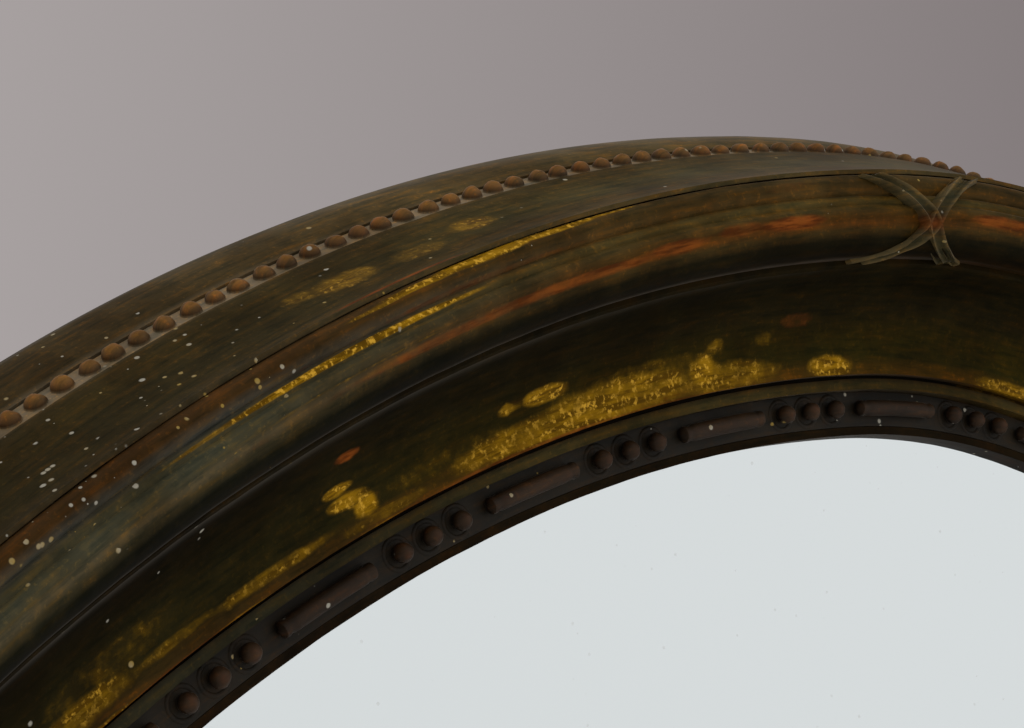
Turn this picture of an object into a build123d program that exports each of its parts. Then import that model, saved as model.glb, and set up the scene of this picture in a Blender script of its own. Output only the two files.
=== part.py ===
from build123d import *
import math
import os

os.makedirs("parts", exist_ok=True)

# Frame of the model
# X to the right, Z up, the wall at Y = 0 and the room on the -Y side.
# The origin is the centre of the oval, on the wall.
# A section point is (d, h): d outward from the sight edge, h forward of the glass face.

# Oval of the sight edge
SIGHT_HALF_WIDTH = 137.5
SIGHT_HALF_HEIGHT = 230.0
SIDE_ARC_ANGLE = 21.0
DIAGONAL_ARC_ANGLE = 49.0
DIAGONAL_FLATNESS = 1.07

# Depths, measured from the glass face
PAD_THICKNESS = 5.0
FRAME_BACK = 15.0
GLASS_THICKNESS = 4.0
PACKING_THICKNESS = 1.0
BOARD_THICKNESS = 4.0

# Core section
FRAME_WIDTH = 72.0
LIP_HEIGHT = 3.0
LIP_WIDTH = 1.9
SIGHT_CHANNEL_WIDTH = 8.0
SIGHT_CHANNEL_HEIGHT = 2.4
BAND_WIDTH = 2.5
BAND_HEIGHT = 6.2
GROOVE_WIDTH = 0.8
GROOVE_HEIGHT = 5.0
ARRIS_HEIGHT = 7.7
COVE_WIDTH = 21.8
COVE_RISE = 16.8
COVE_HOLLOW = 5.0
REED_BED_WIDTH = 18.5
FILLET_HEIGHT = 31.4
FILLET_WIDTH = 1.0
SLOPE_ANGLE = 67.0
FRIEZE_LENGTH = 23.4
FRIEZE_HOLLOW = 0.6
PEARL_CHANNEL_WIDTH = 6.4
PEARL_CHANNEL_DEPTH = 1.8
EDGE_HEIGHT = -9.8
EDGE_BULGE = 0.9
REBATE_WIDTH = 7.0
REBATE_CLEARANCE = 1.0
LEDGE_WIDTH = 21.0

# Reeds, from the outer one to the inner one, with heights above their bed
REED_WIDTHS = (4.9, 2.2, 3.3, 7.0)
REED_RISES = (1.9, 0.8, 1.2, 2.3)
REED_VALLEYS = (7.9, 8.8, 9.2)
REED_SHOULDER = 6.2
REED_LIP = 1.5
REED_CLEARANCE = 0.1

# Outer row of pearls, kept as the half-round rod that the pearls fill
PEARL_RADIUS = 2.3
PEARL_STRIP = 0.8

# Pearls and reels of the sight row
SIGHT_PERIOD = 55.0
SIGHT_PEARLS = 3
SIGHT_PEARL_RADIUS = 2.2
SIGHT_PEARL_PITCH = 7.9
SIGHT_REEL_LENGTH = 26.0
SIGHT_REEL_RADIUS = 1.9
SIGHT_STRIP = 0.8
SIGHT_SINK = 0.4
SIGHT_FIRST_GROUP = 12.5
STRIP_CLEARANCE = 0.1

# Crossed ribbon ties over the joints between the side and the diagonal arcs
TIE_HALF_LENGTH = 17.0
TIE_STRAP_WIDTH = 5.5
TIE_STRAP_ANGLE = 48.0
TIE_THICKNESS = 1.4
TIE_BULGE = 6.8

# Splines across the joints of the core
SPLINE_RADIAL = 26.0
SPLINE_LENGTH = 20.0
SPLINE_THICKNESS = 5.0
SPLINE_D = 49.0
SPLINE_H = 2.0
SPLINE_CLEARANCE = 0.2

# Turn buttons that hold the backing board
BUTTON_LENGTH = 29.0
BUTTON_WIDTH = 10.0
BUTTON_THICKNESS = 1.5
BUTTON_TAIL = 6.0
BUTTON_PIVOT_D = 17.5
BUTTON_GAP = 0.2
BUTTON_SIDE_ANGLE = 8.0
BUTTON_DIAGONAL_ANGLE = 40.0
BUTTON_SCREW_RADIUS = 1.75
BUTTON_SCREW_LENGTH = 13.0
PIVOT_CLEARANCE = 0.08
HEAD_RADIUS = 3.4
HEAD_HEIGHT = 1.9
PILOT_CLEARANCE = 0.05

# Strap hangers with hinged rings
HANGER_ANGLE = 14.0
HANGER_D = 50.0
STRAP_LENGTH = 40.0
STRAP_WIDTH = 12.0
STRAP_THICKNESS = 0.8
STRAP_HOLE_INSET = 7.0
STRAP_HOLE_SPACING = 18.0
RING_WIRE_RADIUS = 1.0
RING_CLEARANCE = 0.08
RING_HALF_WIDTH = 9.0
RING_STRAIGHT = 3.0
RING_CORNER = 2.4
BARREL_WALL = 0.8
HANGER_SCREW_RADIUS = 1.6
HANGER_SCREW_LENGTH = 15.0
HANGER_HEAD_RADIUS = 3.0
HANGER_HEAD_HEIGHT = 1.6

# Wall pads
PAD_RADIUS = 10.0
PAD_D = 50.0
PAD_ANGLE = 40.0

# Places along the section, worked out from the sizes above
WALL_TO_GLASS = PAD_THICKNESS + FRAME_BACK
CHANNEL_IN = LIP_WIDTH
CHANNEL_OUT = CHANNEL_IN + SIGHT_CHANNEL_WIDTH
BAND_OUT = CHANNEL_OUT + BAND_WIDTH
ARRIS = BAND_OUT + GROOVE_WIDTH
BED_IN = ARRIS + COVE_WIDTH
BED_HEIGHT = ARRIS_HEIGHT + COVE_RISE
BED_OUT = BED_IN + REED_BED_WIDTH
FRIEZE_IN = BED_OUT + FILLET_WIDTH
REEDS_OUT = BED_OUT - REED_CLEARANCE
REEDS_IN = REEDS_OUT - sum(REED_WIDTHS)
SIGHT_ROW_D = CHANNEL_IN + SIGHT_CHANNEL_WIDTH / 2
BOARD_BACK = GLASS_THICKNESS + PACKING_THICKNESS + BOARD_THICKNESS
LEDGE_OUT = REBATE_WIDTH + LEDGE_WIDTH
GLAZING_D = REBATE_WIDTH - REBATE_CLEARANCE


def solve_oval():
    """Radii of the side and end arcs that close the oval with the diagonal arc between them."""
    side, diagonal = math.radians(SIDE_ARC_ANGLE), math.radians(DIAGONAL_ARC_ANGLE)
    middle = DIAGONAL_FLATNESS * math.sqrt(SIGHT_HALF_WIDTH * SIGHT_HALF_HEIGHT)
    across = SIGHT_HALF_WIDTH - middle * (math.cos(side) - math.cos(diagonal))
    along = SIGHT_HALF_HEIGHT - middle * (math.sin(diagonal) - math.sin(side))
    a11, a12 = 1 - math.cos(side), math.cos(diagonal)
    a21, a22 = math.sin(side), 1 - math.sin(diagonal)
    determinant = a11 * a22 - a12 * a21
    side_radius = (across * a22 - a12 * along) / determinant
    end_radius = (a11 * along - a21 * across) / determinant
    return side_radius, middle, end_radius


SIDE_RADIUS, DIAGONAL_RADIUS, END_RADIUS = solve_oval()
SIDE_CENTRE = SIGHT_HALF_WIDTH - SIDE_RADIUS
END_CENTRE = SIGHT_HALF_HEIGHT - END_RADIUS
DIAGONAL_X = SIDE_CENTRE + (SIDE_RADIUS - DIAGONAL_RADIUS) * math.cos(math.radians(SIDE_ARC_ANGLE))
DIAGONAL_Z = (SIDE_RADIUS - DIAGONAL_RADIUS) * math.sin(math.radians(SIDE_ARC_ANGLE))


class Arc:
    """One arc of the oval: its centre, the sight edge's radius and the angles it runs between."""

    def __init__(self, name, x, z, radius, start, end):
        self.name = name
        self.x = x
        self.z = z
        self.radius = radius
        self.start = start
        self.end = end

    def length(self, d):
        return (self.radius + d) * math.radians(self.end - self.start)

    def point(self, angle, d, h):
        reach = self.radius + d
        turn = math.radians(angle)
        return Vector(self.x + reach * math.cos(turn), -(WALL_TO_GLASS + h), self.z + reach * math.sin(turn))

    def place(self, shape, angle):
        """Moves a shape from the section plane, with d along X from the arc's centre, to an angle."""
        return Pos(self.x, 0, self.z) * (Rot(0, -angle, 0) * shape)

    def sweep(self, face, start=None, end=None):
        """Turns a section face about the arc's centre, from one angle to another."""
        low = self.start if start is None else start
        high = self.end if end is None else end
        solid = revolve(face, axis=Axis.Y, revolution_arc=high - low)
        return self.place(solid, high)


ARCS = (
    Arc("right", SIDE_CENTRE, 0, SIDE_RADIUS, -SIDE_ARC_ANGLE, SIDE_ARC_ANGLE),
    Arc("upper_right", DIAGONAL_X, DIAGONAL_Z, DIAGONAL_RADIUS, SIDE_ARC_ANGLE, DIAGONAL_ARC_ANGLE),
    Arc("top", 0, END_CENTRE, END_RADIUS, DIAGONAL_ARC_ANGLE, 180 - DIAGONAL_ARC_ANGLE),
    Arc("upper_left", -DIAGONAL_X, DIAGONAL_Z, DIAGONAL_RADIUS, 180 - DIAGONAL_ARC_ANGLE, 180 - SIDE_ARC_ANGLE),
    Arc("left", -SIDE_CENTRE, 0, SIDE_RADIUS, 180 - SIDE_ARC_ANGLE, 180 + SIDE_ARC_ANGLE),
    Arc("lower_left", -DIAGONAL_X, -DIAGONAL_Z, DIAGONAL_RADIUS, 180 + SIDE_ARC_ANGLE, 180 + DIAGONAL_ARC_ANGLE),
    Arc("bottom", 0, -END_CENTRE, END_RADIUS, 180 + DIAGONAL_ARC_ANGLE, 360 - DIAGONAL_ARC_ANGLE),
    Arc("lower_right", DIAGONAL_X, -DIAGONAL_Z, DIAGONAL_RADIUS, 360 - DIAGONAL_ARC_ANGLE, 360 - SIDE_ARC_ANGLE),
)


TIE_JOINTS = {
    "upper_right": (ARCS[0], ARCS[1]),
    "upper_left": (ARCS[3], ARCS[4]),
    "lower_left": (ARCS[4], ARCS[5]),
    "lower_right": (ARCS[7], ARCS[0]),
}
BUTTON_ANGLES = [
    turn
    for angle in (BUTTON_SIDE_ANGLE, BUTTON_DIAGONAL_ANGLE)
    for turn in (angle, 180 - angle, 180 + angle, 360 - angle)
]
HANGER_ANGLES = {"right": HANGER_ANGLE, "left": 180 - HANGER_ANGLE}
PAD_ANGLES = {
    "upper_right": PAD_ANGLE,
    "upper_left": 180 - PAD_ANGLE,
    "lower_left": 180 + PAD_ANGLE,
    "lower_right": 360 - PAD_ANGLE,
}


def arc_at(angle):
    """The arc whose stretch holds the angle."""
    for arc in ARCS:
        if arc.start <= angle <= arc.end or arc.start <= angle - 360 <= arc.end:
            return arc


def section(points, radius):
    """Closed face of a section. A point is (d, h), or (d, h, bulge) for a bowed stretch up to it."""
    edges = []
    corners = [Vector(radius + point[0], -(WALL_TO_GLASS + point[1])) for point in points]
    for index, point in enumerate(points):
        start, end = corners[index - 1], corners[index]
        bulge = point[2] if len(point) > 2 else 0
        if bulge:
            along = (end - start).normalized()
            middle = (start + end) / 2 + Vector(-along.Y, along.X) * bulge
            edges.append(ThreePointArc(start, middle, end))
        else:
            edges.append(Line(start, end))
    return make_face(edges)


def slope_point(along, lift):
    """Point of the outer slope: a length down it from the fillet, and a height above its face."""
    angle = math.radians(SLOPE_ANGLE)
    d = FRIEZE_IN + along * math.cos(angle) + lift * math.sin(angle)
    h = FILLET_HEIGHT - along * math.sin(angle) + lift * math.cos(angle)
    return d, h


def oval_plate(d, front, thickness):
    """Oval plate whose edge lies d outward of the sight edge, from one depth back by a thickness."""
    edges = []
    for arc in ARCS:
        middle = (arc.start + arc.end) / 2
        edges.append(ThreePointArc(*(arc.point(angle, d, -front) for angle in (arc.start, middle, arc.end))))
    return extrude(make_face(edges), amount=thickness, dir=(0, 1, 0))


def bar(radius, length, start, direction=(0, 1, 0)):
    """Round bar that starts at a point and runs along a direction."""
    plane = Plane(origin=start, z_dir=direction)
    return extrude(plane * Circle(radius), amount=length)


def save(node, shape):
    solids = shape.solids()
    model = solids[0] if len(solids) == 1 else Compound(solids)
    export_step(model, os.path.join("parts", node + ".step"))
    print(node, len(solids), round(sum(solid.volume for solid in solids)))


# Sections
def core_points():
    """Front of the core from the sight edge outward, then its back."""
    channel_end = FRIEZE_LENGTH + PEARL_CHANNEL_WIDTH
    return [
        (0, 0),
        (0, LIP_HEIGHT),
        (CHANNEL_IN, LIP_HEIGHT),
        (CHANNEL_IN, SIGHT_CHANNEL_HEIGHT),
        (CHANNEL_OUT, SIGHT_CHANNEL_HEIGHT),
        (CHANNEL_OUT, BAND_HEIGHT),
        (BAND_OUT, BAND_HEIGHT),
        (BAND_OUT, GROOVE_HEIGHT),
        (ARRIS, GROOVE_HEIGHT),
        (ARRIS, ARRIS_HEIGHT),
        (BED_IN, BED_HEIGHT, COVE_HOLLOW),
        (BED_OUT, BED_HEIGHT),
        (BED_OUT, FILLET_HEIGHT),
        (FRIEZE_IN, FILLET_HEIGHT),
        (*slope_point(FRIEZE_LENGTH, 0), FRIEZE_HOLLOW),
        slope_point(FRIEZE_LENGTH, -PEARL_CHANNEL_DEPTH),
        slope_point(channel_end, -PEARL_CHANNEL_DEPTH),
        slope_point(channel_end, 0),
        (FRAME_WIDTH, EDGE_HEIGHT, -EDGE_BULGE),
        (FRAME_WIDTH, -FRAME_BACK),
        (LEDGE_OUT, -FRAME_BACK),
        (LEDGE_OUT, -BOARD_BACK),
        (REBATE_WIDTH, -BOARD_BACK),
        (REBATE_WIDTH, 0),
    ]


def reed_points():
    """Flat bed below, the reeds above as bowed stretches."""
    points = [(BED_IN, BED_HEIGHT), (REEDS_OUT, BED_HEIGHT), (REEDS_OUT, BED_HEIGHT + REED_SHOULDER)]
    d = REEDS_OUT
    for width, rise, height in zip(REED_WIDTHS, REED_RISES, (*REED_VALLEYS, REED_LIP)):
        d -= width
        points.append((d, BED_HEIGHT + height, rise))
    return points


def tie_points():
    """Crossed straps seen in section: they lie over the reeds from the fillet to the lip of the cove."""
    crest = BED_HEIGHT + REED_SHOULDER + REED_RISES[0]
    return [
        (REEDS_OUT, BED_HEIGHT + REED_SHOULDER),
        (REEDS_OUT, crest + TIE_THICKNESS),
        (REEDS_IN - TIE_THICKNESS, BED_HEIGHT + REED_LIP, TIE_BULGE),
        (REEDS_IN, BED_HEIGHT + REED_LIP),
    ]


def strip_points(thickness):
    """Backing strip of the sight row, in its channel."""
    low, high = CHANNEL_IN + STRIP_CLEARANCE, CHANNEL_OUT - STRIP_CLEARANCE
    top = SIGHT_CHANNEL_HEIGHT + thickness
    return [(low, SIGHT_CHANNEL_HEIGHT), (high, SIGHT_CHANNEL_HEIGHT), (high, top), (low, top)]


def pearl_strip_points():
    """Backing strip in its channel on the slope, with the half-round rod of the pearls on it."""
    low = FRIEZE_LENGTH + STRIP_CLEARANCE
    high = FRIEZE_LENGTH + PEARL_CHANNEL_WIDTH - STRIP_CLEARANCE
    middle = (low + high) / 2
    floor = -PEARL_CHANNEL_DEPTH
    top = floor + PEARL_STRIP
    return [
        slope_point(low, floor),
        slope_point(low, top),
        slope_point(middle - PEARL_RADIUS, top),
        (*slope_point(middle + PEARL_RADIUS, top), -PEARL_RADIUS),
        slope_point(high, top),
        slope_point(high, floor),
    ]


# Wooden core
def spline(arc, angle, clearance):
    block = Box(SPLINE_RADIAL + 2 * clearance, SPLINE_THICKNESS + 2 * clearance, SPLINE_LENGTH + 2 * clearance)
    return arc.place(Pos(arc.radius + SPLINE_D, -(WALL_TO_GLASS + SPLINE_H), 0) * block, angle)


def make_core(arc):
    core = arc.sweep(section(core_points(), arc.radius))
    for angle in (arc.start, arc.end):
        core -= spline(arc, angle, SPLINE_CLEARANCE)
    for angle in BUTTON_ANGLES:
        if arc_at(angle) is arc:
            start = arc.point(angle, BUTTON_PIVOT_D, -BOARD_BACK)
            core -= bar(BUTTON_SCREW_RADIUS + PILOT_CLEARANCE, BUTTON_SCREW_LENGTH, start, (0, -1, 0))
    for angle in HANGER_ANGLES.values():
        if arc_at(angle) is arc:
            for start in hanger_holes(angle):
                core -= bar(HANGER_SCREW_RADIUS + PILOT_CLEARANCE, HANGER_SCREW_LENGTH, start, (0, -1, 0))
    return core


# Applied ornament
def make_reeds(arc):
    return arc.sweep(section(reed_points(), arc.radius))


def make_tie(corner):
    """Two straps that cross over a joint of the reeds, cut to the reeds below them."""
    first, second = TIE_JOINTS[corner]
    joint = first.end
    middle = (REEDS_OUT + REEDS_IN) / 2
    bands = [section(tie_points(), arc.radius) for arc in (first, second)]
    before = math.degrees(TIE_HALF_LENGTH / (first.radius + middle))
    after = math.degrees(TIE_HALF_LENGTH / (second.radius + middle))
    band = first.sweep(bands[0], joint - before, joint) + second.sweep(bands[1], joint, joint + after)
    strap = Box(TIE_STRAP_WIDTH, 4 * REED_BED_WIDTH, 4 * TIE_HALF_LENGTH)
    straps = Rot(0, TIE_STRAP_ANGLE, 0) * strap + Rot(0, -TIE_STRAP_ANGLE, 0) * strap
    place = Pos(first.radius + middle, -(WALL_TO_GLASS + BED_HEIGHT), 0)
    return (band & first.place(place * straps, joint)) - make_reeds(first) - make_reeds(second)


def make_pearl_row(arc):
    return arc.sweep(section(pearl_strip_points(), arc.radius))


def sight_run():
    """Places of the sight row's pearls and reels, as lengths along the whole oval."""
    total = sum(arc.length(SIGHT_ROW_D) for arc in ARCS)
    count = round(total / SIGHT_PERIOD)
    period = total / count
    left_middle = total / 2 + ARCS[0].length(SIGHT_ROW_D) / 2
    middles = [(left_middle - SIGHT_FIRST_GROUP + index * period) % total for index in range(count)]
    offsets = [(index - (SIGHT_PEARLS - 1) / 2) * SIGHT_PEARL_PITCH for index in range(SIGHT_PEARLS)]
    pearls = [middle + offset for middle in middles for offset in offsets]
    reels = [middle + period / 2 for middle in middles]
    return pearls, reels, total


def make_sight_row(arc):
    """Strip with the pearls and reels of its stretch, cut square at the joints."""
    strip = arc.sweep(section(strip_points(SIGHT_STRIP), arc.radius))
    room = arc.sweep(section(strip_points(BED_HEIGHT), arc.radius))
    floor = SIGHT_CHANNEL_HEIGHT + SIGHT_STRIP - SIGHT_SINK
    reach = arc.radius + SIGHT_ROW_D
    length = arc.length(SIGHT_ROW_D)
    pearls, reels, total = sight_run()
    offset = sum(other.length(SIGHT_ROW_D) for other in ARCS[:ARCS.index(arc)])
    pieces = []

    def add_ball(place, radius):
        if not -radius / 2 < place < length + radius / 2:
            return
        angle = arc.start + math.degrees(place / reach)
        sphere = Pos(*arc.point(angle, SIGHT_ROW_D, floor + radius)) * Sphere(radius)
        pieces.append(sphere if radius < place < length - radius else sphere & room)

    def add_rod(low, high):
        low, high = max(low, 0), min(high, length)
        if low < high:
            rod = Pos(reach, -(WALL_TO_GLASS + floor + SIGHT_REEL_RADIUS)) * Circle(SIGHT_REEL_RADIUS)
            angles = [arc.start + math.degrees(place / reach) for place in (low, high)]
            pieces.append(arc.sweep(rod.face(), *angles))

    half_rod = SIGHT_REEL_LENGTH / 2 - SIGHT_REEL_RADIUS
    for turn in (-total, 0, total):
        for pearl in pearls:
            add_ball(pearl + turn - offset, SIGHT_PEARL_RADIUS)
        for reel in reels:
            middle = reel + turn - offset
            add_rod(middle - half_rod, middle + half_rod)
            add_ball(middle - half_rod, SIGHT_REEL_RADIUS)
            add_ball(middle + half_rod, SIGHT_REEL_RADIUS)
    return strip.fuse(*pieces)


# Turn buttons
def button_face_y():
    """Y of the buttons' rear face."""
    return -(WALL_TO_GLASS - BOARD_BACK) + BUTTON_GAP + BUTTON_THICKNESS


def make_button(angle):
    """Plate with round ends, its arm inward over the backing board."""
    arc = arc_at(angle)
    middle = BUTTON_PIVOT_D + BUTTON_TAIL - BUTTON_LENGTH / 2
    outline = Plane.XZ * SlotOverall(BUTTON_LENGTH, BUTTON_WIDTH)
    plate = Pos(arc.radius + middle, button_face_y(), 0) * extrude(outline, amount=BUTTON_THICKNESS, dir=(0, -1, 0))
    start = Vector(arc.radius + BUTTON_PIVOT_D, button_face_y(), 0)
    plate -= bar(BUTTON_SCREW_RADIUS + PIVOT_CLEARANCE, BUTTON_THICKNESS, start, (0, -1, 0))
    return arc.place(plate, angle)


def make_screw(seat, radius, length, head_radius, head_height):
    """Dome-headed screw: the head behind its seat, the shank forward into the wood."""
    edge = head_height / 2
    head = bar(head_radius, head_height, seat)
    head = fillet(head.edges().sort_by(Axis.Y)[-1], edge)
    return head + bar(radius, length, seat, (0, -1, 0))


def button_screw(angle):
    pivot = arc_at(angle).point(angle, BUTTON_PIVOT_D, 0)
    seat = Vector(pivot.X, button_face_y() + BUTTON_GAP / 2, pivot.Z)
    return make_screw(seat, BUTTON_SCREW_RADIUS, BUTTON_SCREW_LENGTH, HEAD_RADIUS, HEAD_HEIGHT)


# Strap hangers
def hanger_middle(angle):
    point = arc_at(angle).point(angle, HANGER_D, -FRAME_BACK)
    return point.X, point.Z


def hanger_holes(angle):
    """Points where the strap's screws meet the frame's back."""
    x, z = hanger_middle(angle)
    low = z - STRAP_LENGTH / 2 + STRAP_HOLE_INSET
    return [Vector(x, -PAD_THICKNESS, low), Vector(x, -PAD_THICKNESS, low + STRAP_HOLE_SPACING)]


def barrel_centre(angle):
    x, z = hanger_middle(angle)
    outer = RING_WIRE_RADIUS + RING_CLEARANCE + BARREL_WALL
    return Vector(x, -PAD_THICKNESS + outer, z + STRAP_LENGTH / 2)


def make_strap(angle):
    """Flat strap whose upper end is rolled round the ring's straight side."""
    x, z = hanger_middle(angle)
    plate = Pos(x, -PAD_THICKNESS + STRAP_THICKNESS / 2, z) * Box(STRAP_WIDTH, STRAP_THICKNESS, STRAP_LENGTH)
    low_corners = plate.edges().filter_by(Axis.Y).group_by(Axis.Z)[0]
    plate = fillet(low_corners, STRAP_WIDTH / 3)
    start = barrel_centre(angle) - Vector(STRAP_WIDTH / 2, 0, 0)
    bore = RING_WIRE_RADIUS + RING_CLEARANCE
    strap = plate + bar(bore + BARREL_WALL, STRAP_WIDTH, start, (1, 0, 0))
    strap -= bar(bore, STRAP_WIDTH, start, (1, 0, 0))
    for hole in hanger_holes(angle):
        strap -= bar(HANGER_SCREW_RADIUS + PIVOT_CLEARANCE, STRAP_THICKNESS, hole)
    return strap


def make_ring(angle):
    """D-shaped wire ring with its straight side in the barrel."""
    centre = barrel_centre(angle)
    half = RING_HALF_WIDTH
    flat = half - RING_CORNER
    bend = RING_CORNER * math.sin(math.radians(45))
    rise = RING_CORNER + RING_STRAIGHT

    def at(x, z):
        return centre + Vector(x, 0, z)

    path = Wire([
        Edge.make_line(at(-flat, 0), at(flat, 0)),
        Edge.make_three_point_arc(at(flat, 0), at(flat + bend, RING_CORNER - bend), at(half, RING_CORNER)),
        Edge.make_line(at(half, RING_CORNER), at(half, rise)),
        Edge.make_three_point_arc(at(half, rise), at(0, rise + half), at(-half, rise)),
        Edge.make_line(at(-half, rise), at(-half, RING_CORNER)),
        Edge.make_three_point_arc(at(-half, RING_CORNER), at(-flat - bend, RING_CORNER - bend), at(-flat, 0)),
    ])
    profile = Plane(origin=at(0, 0), z_dir=(1, 0, 0)) * Circle(RING_WIRE_RADIUS)
    return sweep(profile, path=path)


def hanger_screws(angle):
    seats = [hole + Vector(0, STRAP_THICKNESS, 0) for hole in hanger_holes(angle)]
    sizes = (HANGER_SCREW_RADIUS, HANGER_SCREW_LENGTH, HANGER_HEAD_RADIUS, HANGER_HEAD_HEIGHT)
    return [make_screw(seat, *sizes) for seat in seats]


def make_pad(angle):
    return bar(PAD_RADIUS, PAD_THICKNESS, arc_at(angle).point(angle, PAD_D, -FRAME_BACK))


def main():
    for arc in ARCS:
        save("core_" + arc.name, make_core(arc))
        save("reeds_" + arc.name, make_reeds(arc))
        save("pearl_row_" + arc.name, make_pearl_row(arc))
        save("sight_row_" + arc.name, make_sight_row(arc))
    for corner in TIE_JOINTS:
        save("ribbon_tie_" + corner, make_tie(corner))
    save("joint_splines", Compound([spline(arc, arc.end, 0).solid() for arc in ARCS]))
    save("mirror_glass", oval_plate(GLAZING_D, 0, GLASS_THICKNESS))
    save("packing_sheet", oval_plate(GLAZING_D, GLASS_THICKNESS, PACKING_THICKNESS))
    save("backing_board", oval_plate(GLAZING_D, GLASS_THICKNESS + PACKING_THICKNESS, BOARD_THICKNESS))
    for number, angle in enumerate(BUTTON_ANGLES, 1):
        save(f"turn_button_{number}", make_button(angle))
    save("button_screws", Compound([button_screw(angle).solid() for angle in BUTTON_ANGLES]))
    for side, angle in HANGER_ANGLES.items():
        save("hanger_strap_" + side, make_strap(angle))
        save("hanger_ring_" + side, make_ring(angle))
    screws = [screw.solid() for angle in HANGER_ANGLES.values() for screw in hanger_screws(angle)]
    save("hanger_screws", Compound(screws))
    for corner, angle in PAD_ANGLES.items():
        save("wall_pad_" + corner, make_pad(angle))


main()
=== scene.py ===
import math
import random

import bmesh
import bpy
import numpy as np
from mathutils import Matrix, Vector, noise


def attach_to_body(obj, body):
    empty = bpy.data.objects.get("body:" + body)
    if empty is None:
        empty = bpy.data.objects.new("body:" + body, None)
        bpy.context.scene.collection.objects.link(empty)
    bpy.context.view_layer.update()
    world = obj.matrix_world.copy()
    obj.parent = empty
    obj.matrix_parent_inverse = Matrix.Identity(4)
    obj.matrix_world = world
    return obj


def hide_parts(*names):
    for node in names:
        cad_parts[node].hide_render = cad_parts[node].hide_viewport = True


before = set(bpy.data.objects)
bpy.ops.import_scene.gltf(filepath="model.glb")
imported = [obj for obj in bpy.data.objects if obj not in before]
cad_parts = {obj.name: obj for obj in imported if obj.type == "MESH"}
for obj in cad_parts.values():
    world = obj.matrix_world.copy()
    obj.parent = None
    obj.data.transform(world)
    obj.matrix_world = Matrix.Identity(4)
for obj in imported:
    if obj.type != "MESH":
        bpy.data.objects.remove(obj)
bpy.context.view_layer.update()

# The oval, in millimetres, with the same values as the solids. A station is a length along it at the reference line;
# a place across is a length over the moulding's worn face, from the glass outward.
MM = 0.001
SIGHT_HALF_WIDTH = 137.5
SIGHT_HALF_HEIGHT = 230.0
SIDE_ARC_ANGLE = 21.0
DIAGONAL_ARC_ANGLE = 49.0
DIAGONAL_FLATNESS = 1.07
WALL_TO_GLASS = 20.0
FRAME_BACK = 15.0
REFERENCE_D = 50.0

# The moulding's section: (d, h), or (d, h, bulge) for a bowed stretch up to the point
SLOPE_ANGLE = 67.0
FRIEZE_IN = (54.5, 31.4)
FRIEZE_LENGTH = 23.4
PEARL_CHANNEL = 6.4
PEARL_LOW = 0.55  # how far the pearls' centres lie under the slope
FRAME_EDGE = (72.0, -9.8)
BOARD_BACK = 9.0
REBATE = 7.0
LEDGE_OUT = 28.0

# Steps of the swept meshes
STEP_ALONG = 2.2
STEP_ACROSS = 0.42


def solve_oval():
    side, diagonal = math.radians(SIDE_ARC_ANGLE), math.radians(DIAGONAL_ARC_ANGLE)
    middle = DIAGONAL_FLATNESS * math.sqrt(SIGHT_HALF_WIDTH * SIGHT_HALF_HEIGHT)
    across = SIGHT_HALF_WIDTH - middle * (math.cos(side) - math.cos(diagonal))
    along = SIGHT_HALF_HEIGHT - middle * (math.sin(diagonal) - math.sin(side))
    a11, a12 = 1 - math.cos(side), math.cos(diagonal)
    a21, a22 = math.sin(side), 1 - math.sin(diagonal)
    determinant = a11 * a22 - a12 * a21
    return (across * a22 - a12 * along) / determinant, middle, (a11 * along - a21 * across) / determinant


class Arc:
    """One arc of the oval. Its station is the length along the oval, at the reference line, where it starts."""

    def __init__(self, name, x, z, radius, start, end):
        self.name, self.x, self.z, self.radius, self.start, self.end = name, x, z, radius, start, end
        self.station = 0.0

    def length(self, d=REFERENCE_D):
        return (self.radius + d) * math.radians(self.end - self.start)

    def points(self, angles, d, h):
        """World points in metres for angles in degrees and section points in millimetres."""
        turn = np.radians(angles)
        reach = self.radius + d
        return np.stack([self.x + reach * np.cos(turn), -(WALL_TO_GLASS + h) + 0 * turn,
                         self.z + reach * np.sin(turn)], -1) * MM


def make_arcs():
    side, middle, end = solve_oval()
    side_x, end_z = SIGHT_HALF_WIDTH - side, SIGHT_HALF_HEIGHT - end
    x = side_x + (side - middle) * math.cos(math.radians(SIDE_ARC_ANGLE))
    z = (side - middle) * math.sin(math.radians(SIDE_ARC_ANGLE))
    low, high = SIDE_ARC_ANGLE, DIAGONAL_ARC_ANGLE
    arcs = [
        Arc("right", side_x, 0, side, -low, low),
        Arc("upper_right", x, z, middle, low, high),
        Arc("top", 0, end_z, end, high, 180 - high),
        Arc("upper_left", -x, z, middle, 180 - high, 180 - low),
        Arc("left", -side_x, 0, side, 180 - low, 180 + low),
        Arc("lower_left", -x, -z, middle, 180 + low, 180 + high),
        Arc("bottom", 0, -end_z, end, 180 + high, 360 - high),
        Arc("lower_right", x, -z, middle, 360 - high, 360 - low),
    ]
    station = 0.0
    for arc in arcs:
        arc.station = station
        station += arc.length()
    return arcs, station


ARCS, OVAL_LENGTH = make_arcs()


def arc_at(station):
    station %= OVAL_LENGTH
    for arc in reversed(ARCS):
        if station >= arc.station:
            return arc, arc.start + math.degrees((station - arc.station) / (arc.radius + REFERENCE_D))


def around(along, station):
    """Signed distance from a station, the shorter way round the oval."""
    return (along - station + OVAL_LENGTH / 2) % OVAL_LENGTH - OVAL_LENGTH / 2


def place(station, d, h):
    """World point of a station and a section point."""
    arc, angle = arc_at(station)
    return Vector(arc.points(np.array(angle), d, h))


def directions(station):
    """Along, outward and forward directions at a station."""
    arc, angle = arc_at(station)
    turn = math.radians(angle)
    return (Vector((-math.sin(turn), 0, math.cos(turn))), Vector((math.cos(turn), 0, math.sin(turn))),
            Vector((0, -1, 0)))


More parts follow.
